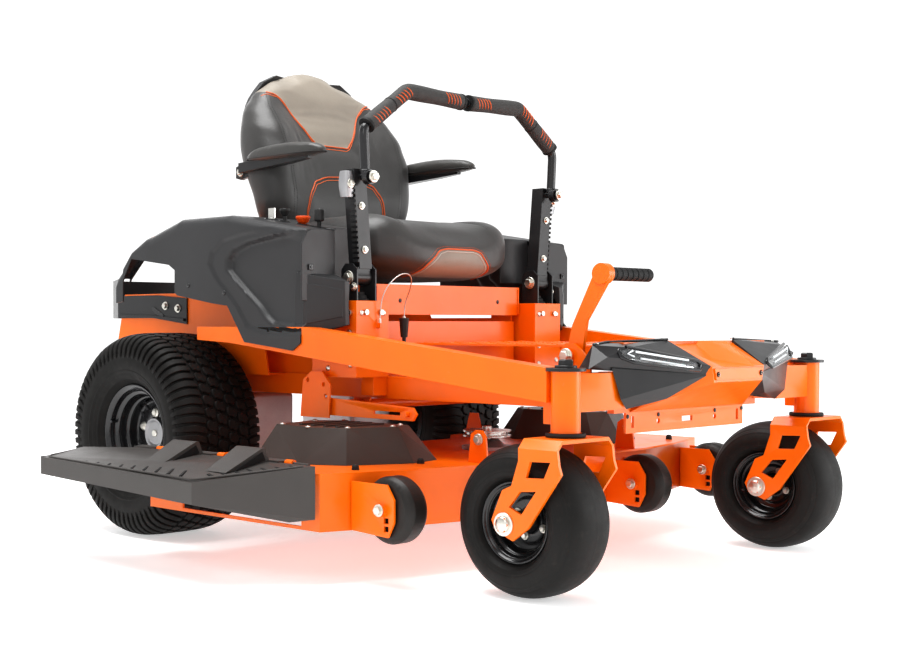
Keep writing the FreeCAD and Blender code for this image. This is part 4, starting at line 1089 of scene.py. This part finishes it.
def lever_mounts():
    refined("lever_brackets", "black", 1.2)
    bolts = Shape("tower_bolts", "chassis", "zinc", "black", "seal")
    for x in (-401, -330):
        bolts.bolt((x, -618, 700), (math.copysign(1, x + 365), 0, 0), 11, 0)
    for y in (-636, -598):
        bolts.bolt((-401.2, y, 628), (-1, 0, 0), 7, 0)
        bolts.bolt((-401.2, y, 676), (-1, 0, 0), 7, 0)
    for x in (-393, -345):
        bolts.bolt((x, -646.4, 618), (0, -1, 0), 6.5, 0)
    # Fastenings on the tower's front face
    for x, z in ((-398, 610), (-318, 610), (-398, 480), (-318, 520), (-318, 470)):
        bolts.dome((x, -660, z), (0, -1, 0), 7, 0)
    for y, z in ((-640, 560), (-640, 480), (-560, 470)):
        bolts.dome((-417, y, z), (-1, 0, 0), 7, 0)
    # Rubber boot in the slot at the tower's top
    bolts.add(loft([[(-363 + w * math.cos(a), -606 + d * math.sin(a), z) for a in
                     [2 * math.pi * m / 24 for m in range(24)]]
                    for w, d, z in ((33, 34, 640.5), (32, 33, 646), (27, 28, 648), (26, 27, 655),
                                    (22, 22, 657),
                                    (21, 21, 664))]), 2)
    bolts.mirror()
    bolts.make(bevel=0.5)


# ---------------------------------------------------------------- selector pin, lanyard and hand controls

LANYARD_ROUTE = [(-340, -668, 585), (-340, -668, 622), (-336, -678, 665), (-312, -690, 698),
                 (-275, -694, 714),
                 (-240, -686, 702), (-223, -662, 668), (-221, -640, 633), (-221, -640, 598)]
LANYARD_DIAMETER = 0.003


def spline_points(route, name):
    """Points along the quadratic NURBS line through the route's control points, in the row frame."""
    data = bpy.data.curves.new(name, "CURVE")
    data.dimensions = "3D"
    line = data.splines.new("NURBS")
    line.points.add(len(route) - 1)
    for point, place in zip(line.points, route):
        point.co = (*row(*place), 1)
    line.order_u = 3
    line.use_endpoint_u = True
    line.resolution_u = 16
    obj = bpy.data.objects.new(name, data)
    bpy.context.scene.collection.objects.link(obj)
    bpy.context.view_layer.update()
    mesh = bpy.data.meshes.new_from_object(obj.evaluated_get(bpy.context.evaluated_depsgraph_get()))
    points = [v.co.copy() for v in mesh.vertices]
    bpy.data.objects.remove(obj)
    bpy.data.meshes.remove(mesh)
    bpy.data.curves.remove(data)
    return points


def lanyard():
    points = spline_points(LANYARD_ROUTE, "lanyard_line")
    to_machine = TO_ROW.inverted()
    path = [to_machine @ p for p in points]
    rope = Shape("lanyard", "chassis", "steel")
    rope.add(tube(path, 500 * LANYARD_DIAMETER, 10))
    mesh = bpy.data.meshes.new("lanyard")
    mesh.from_pydata(rope.points, [], rope.faces)
    mesh.materials.append(MAT["wire"])
    mesh.transform(TO_ROW)
    mesh.polygons.foreach_set("use_smooth", [True] * len(mesh.polygons))
    obj = bpy.data.objects.new("lanyard", mesh)
    bpy.context.scene.collection.objects.link(obj)
    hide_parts("pin_lanyard")
    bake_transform(obj)
    clips = Shape("lanyard_clip", "chassis", "zinc")
    clips.add(lathe([(-13, 0.1), (-13, 3.4), (9, 3.4), (10, 2.6), (10, 0.1)], 20, False), 0,
              aimed((-340, -668, 586), (0, 0, 1)))
    clips.make(bevel=0.3)


def pin_handle():
    """Tapered moulded handle on the cutting-height pin."""
    refined("height_pin", "knob", 0.8)
    grip = Shape("pin_collar", "selector_pin", "zinc")
    grip.add(lathe([(-5, 0.1), (-5, 4.5), (5, 4.5), (6, 3.4), (6, 0.1)], 24, False), 0,
             aimed((-221, -640, 596), (0, 0, 1)))
    grip.make(bevel=0.3)


CONSOLE_TOP, CONSOLE_REAR, CONSOLE_DROP = 868.0, -300.0, 49.0 / 300.0
CONTROL_X, THROTTLE_Y = -440, -550


def on_console(y):
    return CONSOLE_TOP - (CONSOLE_REAR - y) * CONSOLE_DROP


def controls():
    """Bezels and plates round the hand controls on the right-hand console."""
    trim = Shape("console_trim", "chassis", "gloss", "zinc", "knob")
    lean = Vector((0, -0.161, 0.987))
    for y, r in ((-370, 16), (-421, 12), (-490, 15)):
        trim.add(lathe([(0.3, r - 6), (0.3, r + 3), (2.2, r + 2), (3.2, r - 2), (3.2, r - 6)], 40), 0,
                 aimed((CONTROL_X, y, on_console(y)), lean))
    trim.add(loft([[(CONTROL_X + u, THROTTLE_Y + v, on_console(THROTTLE_Y + v) + w) for u, v in
                    ((-17, -44), (17, -44), (17, 44), (-17, 44))] for w in (0.3, 2.0)]), 0)
    trim.add(loft([[(CONTROL_X + u, THROTTLE_Y + v, on_console(THROTTLE_Y + v) + w) for u, v in
                    ((-3, -32), (3, -32), (3, 32), (-3, 32))] for w in (2.1, 2.6)]), 2)
    trim.make(bevel=0.5, angle=35)
    refined("throttle_lever", "knob", 1.2)
    refined("choke_knob", "knob", 2.2)
    refined("clutch_knob", "orange_knob", 2.6)
    refined("ignition_key", "steel", 0.4)


lever(-1)
lever(1)
lever_mounts()
lanyard()
pin_handle()
controls()


# ---------------------------------------------------------------- side fairings over the rear wheels

FAIRING_WALL = 0.0042
FAIRING_LOW = [(-592, 535), (-563, 516), (-380, 536), (-312, 630), (-249, 637), (-100, 660), (-89.01, 668),
               (-89, 729), (-63, 744), (109, 766), (150, 706), (151, 646), (183, 642)]
FAIRING_TOP = [(-592, 820), (-300, 868), (-100, 868), (54, 823), (113, 783), (176, 728), (183, 714)]
STEP_OUTER = [(-700, 850), (-500, 832), (-368, 818), (-290, 804), (-246, 775), (-232, 741), (-262, 700),
              (-313, 655),
              (-349, 622), (-388, 572), (-470, 552), (-700, 552)]
STEP_INNER = [(-700, 828), (-516, 814), (-386, 797), (-330, 781), (-300, 752), (-300, 722), (-349, 682),
              (-430, 622),
              (-452, 598), (-478, 580), (-560, 574), (-700, 574)]


def linear(table, value):
    if value <= table[0][0]:
        return table[0][1]
    for (a, u), (b, v) in zip(table, table[1:]):
        if value <= b:
            return u + (v - u) * (value - a) / (b - a)
    return table[-1][1]


def depth_inside(y, z, outline):
    """Distance from a point to an outline's edge, or 0 outside it."""
    inside, best = False, 1e9
    for k in range(len(outline)):
        (y0, z0), (y1, z1) = outline[k - 1], outline[k]
        if (z0 > z) != (z1 > z) and y < y0 + (y1 - y0) * (z - z0) / (z1 - z0):
            inside = not inside
        span = (y1 - y0) ** 2 + (z1 - z0) ** 2
        t = max(0, min(1, ((y - y0) * (y1 - y0) + (z - z0) * (z1 - z0)) / span))
        best = min(best, math.hypot(y - y0 - t * (y1 - y0), z - z0 - t * (z1 - z0)))
    return best if inside else 0.0


def fairing_dent(y, z):
    """How far the wall lies inboard of its outermost face."""
    step = min(1, depth_inside(y, z, STEP_OUTER) / 9)
    deep = min(1, depth_inside(y, z, STEP_INNER) / 13)
    return 5 * step * step * (3 - 2 * step) + 15 * deep * deep * (3 - 2 * deep)


def side_fairing(side):
    name = "right" if side < 0 else "left"
    ys = set()
    y = -592.0
    while y < 183:
        ys.add(round(y, 2))
        y += 6
    ys |= {-563.0, -62.01, -62.0, -530.01, -530.0, -380.0, -312.0, -89.01, -89.0, -63.0, 109.0, 150.0,
           151.0, 183.0}
    rings = []
    for y in sorted(ys):
        low, top = linear(FAIRING_LOW, y), linear(FAIRING_TOP, y)
        crown = min(34, 0.45 * (top - low))
        inner = -426 if y < -530 else -300 if y < -62 else -494
        ring = []
        rows = 56
        for k in range(rows):
            z = low + (top - crown - low) * k / (rows - 1)
            ring.append((-545 + fairing_dent(y, z), y, z))
        for k in range(1, 9):
            a = math.pi / 2 * k / 8
            z = top - crown + crown * math.sin(a)
            ring.append((-545 + crown * (1 - math.cos(a)) + fairing_dent(y, z) * (1 - k / 8), y, z))
        start = -545 + crown
        for k in range(1, 10):
            u = k / 9
            ring.append((start + (inner - 4 - start) * u, y, top))
        ring.append((inner, y, top - 3))
        ring.append((inner, y, top - 18))
        rings.append([(-side * px, py, pz) for px, py, pz in ring])
    n = len(rings[0])
    points = [p for ring in rings for p in ring]
    faces = []
    for k in range(len(rings) - 1):
        if abs(rings[k][0][1] - rings[k + 1][0][1]) < 0.1:
            continue
        for m in range(n - 1):
            faces.append((k * n + m, k * n + m + 1, (k + 1) * n + m + 1, (k + 1) * n + m))
    bm = bmesh.new()
    spots = [bm.verts.new(TO_ROW @ Vector(p)) for p in points]
    for f in faces:
        bm.faces.new([spots[i] for i in f])
    bmesh.ops.remove_doubles(bm, verts=bm.verts, dist=2e-5)
    bmesh.ops.delete(bm, geom=[v for v in bm.verts if not v.link_faces], context="VERTS")
    bmesh.ops.recalc_face_normals(bm, faces=bm.faces)
    bm.faces.ensure_lookup_table()
    outward = sum(f.normal.x * side * f.calc_area() for f in bm.faces)
    if outward < 0:
        bmesh.ops.reverse_faces(bm, faces=bm.faces)
    mesh = bpy.data.meshes.new("fairing_shell_" + name)
    bm.to_mesh(mesh)
    bm.free()
    obj = bpy.data.objects.new("fairing_shell_" + name, mesh)
    bpy.context.scene.collection.objects.link(obj)
    mesh.materials.append(MAT["fairing"])
    sheet = obj.modifiers.new("wall", "SOLIDIFY")
    sheet.thickness = FAIRING_WALL
    sheet.offset = -1
    sheet.use_even_offset = False
    applied(obj)
    obj.data.materials.clear()
    obj.data.materials.append(MAT["fairing"])
    finish_mesh(obj, "chassis", 0.0, 40)
    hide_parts("side_fairing_" + name)

    s = -side
    walls = Shape("fairing_front_" + name, "chassis", "fairing", "gloss", "zinc")
    # Upright front wall, set back above the lower panel
    walls.add(prism("y", -593.5, -588.5, [(s * -541, 640), (s * -541, 780), (s * -522, 812),
                                          (s * -500, 819.5),
                                          (s * -426, 819.5), (s * -426, 640)]))
    walls.add(prism("y", -534, -529, [(s * -427, 700), (s * -427, 829), (s * -300, 829), (s * -300, 700)]))
    walls.add(prism("x", s * -431, s * -426, [(-592, 640), (-592, 819), (-530, 829), (-530, 640)]))
    # Lower panel that wraps forward over the tower's side
    low = [(-532, -560, 540), (-526, -586, 556), (-442, -647, 578), (-427, -648, 580), (-427, -636, 582),
           (-520, -572, 545)]
    high = [(-532, -560, 712), (-527, -590, 706), (-444, -647, 690), (-427, -648, 688), (-427, -592, 708),
            (-520, -572, 714)]
    mid = [(a[0] - 3.5, a[1] - 2 if k in (1, 2) else a[1], (a[2] + b[2]) / 2)
           for k, (a, b) in enumerate(zip(low, high))]
    walls.add(loft([[(s * x, y, z) for x, y, z in ring] for ring in (low, mid, high)]))
    # Shallow raised pad on the lower panel, with its border
    pad = [(-529, -584, 580), (-448, -643, 600), (-448, -643, 668), (-529, -586, 686)]
    rim = [Vector((s * x, y, z)) + Vector((s * -2.4, -2.4, 0)) for x, y, z in pad]
    inner = [Vector((s * x, y, z)) + Vector((s * 4, 4, 0)) for x, y, z in pad]
    walls.add(loft([inner, rim]))
    # Square clip on the upright wall
    walls.add(block(s * -520, s * -505, -598, -592, 716, 731), 1)
    walls.add(block(s * -516, s * -509, -600, -596, 720, 727), 1)
    # Clips near the bottom edge
    for y, z in ((-300, 664), (-150, 686)):
        walls.dome((s * -544.6, y, z), (s * -1, 0, 0), 6.5, 1)
    walls.make(bevel=2.2, angle=30, segments=3)


def bumper_plate():
    refined("rear_bumper", "black", 1.0)
    hardware = Shape("bumper_bolts", "chassis", "zinc", "black", "gloss")
    for y, z in ((130, 628), (190, 636)):
        hardware.bolt((-362, y, z), (-1, 0, 0), 8, 0)
    hardware.add(prism("x", -364.2, -361.8, [(246, 634), (256, 628), (246, 618), (206, 602), (196, 607),
                                             (206, 614)]), 2)
    # Raised flange along the lower edge of the side plate
    hardware.add(prism("x", -368, -362.1, [(98, 590), (98, 598), (250, 608), (420, 612), (420, 604),
                                           (250, 600)]), 1)
    hardware.mirror()
    hardware.make(bevel=0.6)


side_fairing(-1)
side_fairing(1)
bumper_plate()


# ---------------------------------------------------------------- front housings, headlights and nose plate

LENS_EDGE = [(-352, -1396, 524), (-330, -1399, 531), (-160, -1453, 501), (-150, -1458, 493),
             (-165, -1462, 482),
             (-330, -1418, 500), (-352, -1402, 510)]


def headlights():
    refined("headlights", "lens", 0.6)
    parts = Shape("headlight_details", "chassis", "gloss", "led", "steel")
    out = Vector((-0.28, -0.86, 0.42))
    ring = [Vector(p) + out * 1.2 for p in LENS_EDGE]
    middle = sum(ring, Vector()) / len(ring)
    grown = [middle + (p - middle) * 1.09 for p in ring]
    parts.add(tube(filleted(grown + grown[:2], 5, 4)[1:-1], 3.6, 8), 0)
    # Light guides: two long bars with a chevron at the outer end
    for lift, a, b in ((7, -322, -182), (-6, -310, -190)):
        line = []
        for k in range(9):
            x = a + (b - a) * k / 8
            t = (x + 330) / 170
            base = Vector((-330, -1408, 515)).lerp(Vector((-160, -1457, 491)), t)
            line.append(base + out * 4.4 + Vector((0, 0, lift)))
        parts.add(tube(line, 2.4, 8), 1)
    tip = Vector((-340, -1402, 517)) + out * 3.6
    parts.add(tube([tip + Vector((12, -5, 7)), tip, tip + Vector((14, -7, -6))], 2.2, 8), 1)
    # Shoulder trim and screws on the housing
    parts.add(tube([(-392, -1352, 539), (-306, -1327, 543), (-140, -1374, 548)], 2.6, 8), 0)
    for place in ((-372, -1346, 540), (-150, -1366, 548)):
        parts.dome(place, (0, 0, 1), 5, 2)
    parts.mirror()
    parts.make(bevel=0.3)


def nose():
    refined("foot_deck", "orange", 1.2)
    plate = Shape("nose_plate", "chassis", "orange", "seal", "zinc")
    plate.add(prism("y", -1473.5, -1469, [(-98, 457), (98, 457), (106, 483), (-106, 483)]), 0)
    for x in (-92, 92):
        plate.dome((x, -1473.4, 470), (0, -1, 0), 6, 1)
        for k in range(5):
            a = 2 * math.pi * k / 5
            plate.add(block(x + 3.4 * math.cos(a) - 0.9, x + 3.4 * math.cos(a) + 0.9, -1477.5, -1475,
                            470 + 3.4 * math.sin(a) - 0.9, 470 + 3.4 * math.sin(a) + 0.9), 2)
    # Tread bars on the foot platform
    for row_y in range(-1240, -640, 60):
        for x in (-190, -130, -70, 70, 130, 190):
            plate.add(prism("z", 533.5, 536, [(x - 20, row_y - 3), (x + 20, row_y + 3), (x + 20, row_y + 9),
                                              (x - 20, row_y + 3)]), 0)
    plate.make(bevel=0.7)
    trim = Shape("flange_bolts", "chassis", "zinc", "black")
    for x in (-150, 150):
        trim.dome((x, -1342, 420), (0, -1, 0), 7, 0)
    for x in (-242, -120, 120, 242):
        trim.dome((x, -1338.3, 376), (0, -1, 0), 5, 1)
    trim.bolt((-374, -1268, 512), (-1, 0, 0), 11, 0)
    trim.make(bevel=0.4)


headlights()
nose()


# ---------------------------------------------------------------- discharge chute and mower deck

def chute():
    refined("chute", "chute", 2.0, 25)
    marks = Shape("chute_details", "chute", "painted_shade", "chute", "zinc")
    # Strips of painted shade that stand for vent slits, along the outer edge and behind the front edge
    for k in range(10):
        y = -640 + 46 * k
        a, b = (-958, y), (-918, y + 30)
        run = Vector((b[0] - a[0], b[1] - a[1], 0)).normalized()
        across = Vector((-run.y, run.x, 0)) * 3.2
        quad = [Vector((*a, 0)) - across, Vector((*b, 0)) - across, Vector((*b, 0)) + across,
                Vector((*a, 0)) + across]
        marks.add(loft([[(p.x, p.y, chute_height(p.x, p.y) + h) for p in quad] for h in (-3, 0.5)]), 0)
    for k in range(7):
        x = -930 + 22 * k
        y = -730 - (x + 930) * 0.86
        quad = [(x - 3, y + 6), (x + 3, y + 4), (x + 16, y + 40), (x + 10, y + 42)]
        marks.add(loft([[(px, py, chute_height(px, py) + h) for px, py in quad] for h in (-3, 0.5)]), 0)
    # Raised bead round the top, and panels of painted shade on the ends of the gussets
    edge = [(-790, -865), (-972, -700), (-972, -110), (-856, -108)]
    marks.add(tube([(x, y, chute_height(x, y) + 0.5) for x, y in
                    [(p.x, p.y) for p in filleted([(a, b, 0) for a, b in edge], 30, 6)]], 3.0, 8), 1)
    for y in (-740, -500):
        marks.add(prism("y", y + 91, y + 92.2, [(-790, 272), (-800, 292), (-878, 256), (-878, 252)]), 0)
        marks.add(prism("y", y - 1.2, y, [(-790, 272), (-800, 292), (-878, 256), (-878, 252)]), 0)
    marks.make(bevel=0.4)


def chute_height(x, y):
    """Height of the chute's top sheet, on the plane through three of its corners."""
    t = (-776 - x) / 204
    ahead = (y + 885) / 785
    return 268 - t * (36 - 16 * max(0, min(1, ahead))) + 0.6


DECK_TOP = 250


def deck_fittings():
    trim = Shape("deck_fittings", "deck", "zinc", "seal", "orange")
    for x, y in ((-650, -1015), (-200, -1085), (200, -1085), (650, -1015)):
        for side in (-1, 1):
            trim.bolt((x + side * 54, y, 176), (side, 0, 0), 9, 0)
    for x, y in ((-640, -880), (-420, -880), (-150, -985), (150, -985), (420, -880), (640, -880)):
        trim.add(lathe([(0, 0.1), (0, 9), (9, 8), (13, 5), (13, 0.1)], 20, False), 1,
                 aimed((x, y, DECK_TOP), (0, 0, 1)))
    for x, y in ((-480, -640), (480, -640)):
        for k in range(4):
            a = math.pi / 4 + math.pi / 2 * k
            trim.bolt((x + 118 * math.cos(a), y + 118 * math.sin(a), DECK_TOP), (0, 0, 1), 6, 0)
    for x in (-306, 306):
        trim.bolt((x, -962, 306), (math.copysign(1, x), 0, 0), 9, 0)
    trim.make(bevel=0.5)


chute()
deck_fittings()


# ---------------------------------------------------------------- casters, belt covers, engine and rear

def caster_details(side):
    name = "left" if side > 0 else "right"
    parts = Shape("caster_fittings_" + name, "caster_" + name, "zinc", "seal", "black")
    x = side * TRACK_X
    for out in (-1, 1):
        at = (x + out * 99, FRONT_Y, FRONT_Z)
        parts.add(lathe([(-1, 0.1), (-1, 25), (2.5, 25), (3.5, 24), (3.5, 0.1)], 40, False), 0,
                  aimed(at, (out, 0, 0)))
        parts.dome((x + out * 102, FRONT_Y, FRONT_Z), (out, 0, 0), 17.5, 0, 0.62)
    parts.add(lathe([(0, 33), (0, 41), (4, 42.5), (9, 41), (9, 33)], 56), 1,
              aimed((x, PIVOT_Y, 346.5), (0, 0, 1)))
    parts.bolt((x, PIVOT_Y, 492), (0, 0, 1), 15, 2)
    parts.make(bevel=0.6)


def belt_cover_details():
    trim = Shape("belt_cover_bolts", "deck", "zinc", "cover")
    spots = [(-596, -676), (-572, -558), (-424, -518), (-380, -578), (-380, -776), (-432, -800), (-548, -762)]
    for x, y in spots:
        for s in (-1, 1):
            trim.dome((-s * x, y, 335), (0, 0, 1), 7, 0)
    for s in (-1, 1):
        for k in range(4):
            y = -610 - 42 * k
            trim.add(block(s * 400 if s > 0 else -560, s * 560 if s > 0 else -400, y - 5, y + 5, 334, 339), 1)
    trim.make(bevel=1.0)


def engine_details():
    """Cooling fins, filters, screen and fasteners on the engine block and its shroud."""
    lo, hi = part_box("engine_block")
    back = TO_ROW.inverted()
    a, b = back @ Vector(lo), back @ Vector(hi)
    x0, x1, y0, y1, z0, z1 = a.x, b.x, a.y, b.y, a.z, b.z
    parts = Shape("engine_details", "chassis", "cast", "gloss", "zinc", "seal")
    for s in (-1, 1):
        for k in range(9):
            z = z0 + (z1 - z0) * (0.34 + 0.055 * k)
            cx = s * (x1 * 0.62)
            parts.add(block(cx - 34, cx + 34, y1 - 60, y1 - 3, z, z + 3.2), 0)
    parts.add(lathe([(0, 0.1), (0, 30), (6, 38), (72, 38), (80, 34), (80, 0.1)], 40, False), 1,
              aimed((x0 * 0.45, y1 - 62, z0 + (z1 - z0) * 0.22), (0, 0.74, -0.1)))
    for x in (-0.8, -0.3, 0.3, 0.8):
        for z in (0.14, 0.82):
            parts.bolt((x1 * x, y1 - 1, z0 + (z1 - z0) * z), (0, 1, 0), 7, 2)
    parts.make(bevel=0.7)
    lo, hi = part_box("blower_shroud")
    a, b = back @ Vector(lo), back @ Vector(hi)
    cx, cy, top = (a.x + b.x) / 2, (a.y + b.y) / 2, b.z
    r = 0.42 * min(b.x - a.x, b.y - a.y)
    screen = Shape("cooling_screen", "chassis", "gloss", "zinc")
    for k in range(6):
        q = r * (0.3 + 0.13 * k)
        screen.add(lathe([(-3, q - 2), (-3, q + 2), (1.5, q + 2), (1.5, q - 2)], 64), 0,
                   aimed((cx, cy, top - 1.8), (0, 0, 1)))
    for k in range(12):
        a0 = 2 * math.pi * k / 12
        way = Vector((math.cos(a0), math.sin(a0), 0))
        across = Vector((-way.y, way.x, 0)) * 1.6
        quad = [Vector((cx, cy, 0)) + way * (r * 0.28) - across, Vector((cx, cy, 0)) + way * r - across,
                Vector((cx, cy, 0)) + way * r + across, Vector((cx, cy, 0)) + way * (r * 0.28) + across]
        screen.add(loft([[(p.x, p.y, top + h) for p in quad] for h in (-3, 0.0)]), 0)
    screen.make(bevel=0.3)


for side in (-1, 1):
    caster_details(side)
belt_cover_details()
engine_details()


# ---------------------------------------------------------------- nodes that keep their shape

LOOK = {
    "orange": "main_frame towers rear_hood side_rails front_beam caster_fork_right caster_fork_left "
              "lift_pedal lift_shaft deck_shell",
    "black": "front_fairing_right front_fairing_left caster_caps muffler",
    "fairing": "blower_shroud",
    "cover": "belt_covers",
    "cast": "engine_block transaxles spindle_housings",
    "steel": "frame_bolts blade_right blade_middle blade_left",
    "seal": "foot_peg",
    "roller": "roller_outer_right roller_outer_left roller_inner_right roller_inner_left",
}
for look, names in LOOK.items():
    for node in names.split():
        refined(node, look)


# ---------------------------------------------------------------- room, lights and camera

LENS_MM, LENS_SHIFT = 56.88, (0.1750, 0.0368)
CAMERA_PLACE, CAMERA_DOWN, CAMERA_TURN = (-2931.65, -3163.66, 582.77), 0.0241, -0.7428
FLOOR_HALF = 40.0


def area(name, place, target, size, power):
    data = bpy.data.lights.new(name, "AREA")
    data.shape = "RECTANGLE"
    data.size, data.size_y = size
    data.energy = power
    obj = bpy.data.objects.new(name, data)
    obj.location = place
    obj.rotation_euler = (Vector(target) - Vector(place)).to_track_quat("-Z", "Y").to_euler()
    bpy.context.scene.collection.objects.link(obj)


def studio():
    floor_mesh = bpy.data.meshes.new("floor")
    half = FLOOR_HALF
    floor_mesh.from_pydata([(-half, -half, 0), (half, -half, 0), (half, half, 0), (-half, half, 0)], [],
                           [(0, 1, 2, 3)])
    floor = bpy.data.objects.new("floor", floor_mesh)
    bpy.context.scene.collection.objects.link(floor)
    n = Nodes("floor_paper")
    n.set(Base_Color=n.ramp(n.noise(1.5, 2.0), [(0.0, (0.9, 0.9, 0.9)), (1.0, (0.94, 0.94, 0.94))]),
          Roughness=0.7)
    n.set(Emission_Color=(1, 1, 1), Emission_Strength=0.42)
    floor_mesh.materials.append(n.mat)

    world = bpy.data.worlds.new("studio")
    world.use_nodes = True
    bpy.context.scene.world = world
    tree = world.node_tree
    back = tree.nodes["Background"]
    back.inputs["Strength"].default_value = 1.0
    # White round the horizon, dimmer overhead where the soft boxes hang
    where = tree.nodes.new("ShaderNodeTexCoord")
    split = tree.nodes.new("ShaderNodeSeparateXYZ")
    ramp = tree.nodes.new("ShaderNodeValToRGB")
    tree.links.new(where.outputs["Generated"], split.inputs[0])
    tree.links.new(split.outputs["Z"], ramp.inputs["Fac"])
    tree.links.new(ramp.outputs["Color"], back.inputs["Color"])
    ramp.color_ramp.elements[0].position, ramp.color_ramp.elements[1].position = 0.3, 0.5
    ramp.color_ramp.elements[0].color = (1, 1, 1, 1)
    ramp.color_ramp.elements[1].color = (0.5, 0.5, 0.5, 1)
    area("top_box", (-0.6, 0.2, 4.2), (0, 0, 0.4), (3.0, 3.0), 200)
    area("key", (-3.6, -2.6, 3.2), (0, 0, 0.5), (1.8, 1.8), 22)
    area("front_fill", (1.8, -4.2, 2.2), (0, -0.4, 0.4), (2.5, 1.4), 16)
    area("front_panel", (2.7, -3.3, 0.9), (0, -0.8, 0.35), (2.2, 1.5), 36)
    area("back_fill", (2.0, 4.2, 2.6), (0, 0.4, 0.5), (3.0, 2.0), 24)

    scene = bpy.context.scene
    scene.view_settings.view_transform = "Standard"
    scene.view_settings.look = "Medium High Contrast"
    camera = bpy.data.cameras.new("camera")
    camera.sensor_width = 36
    camera.lens = LENS_MM
    camera.shift_x, camera.shift_y = LENS_SHIFT
    camera.clip_start, camera.clip_end = 0.05, 100
    obj = bpy.data.objects.new("camera", camera)
    obj.location = row(*CAMERA_PLACE)
    obj.rotation_euler = (math.pi / 2 - CAMERA_DOWN, 0, CAMERA_TURN)
    scene.collection.objects.link(obj)
    scene.camera = obj


studio()
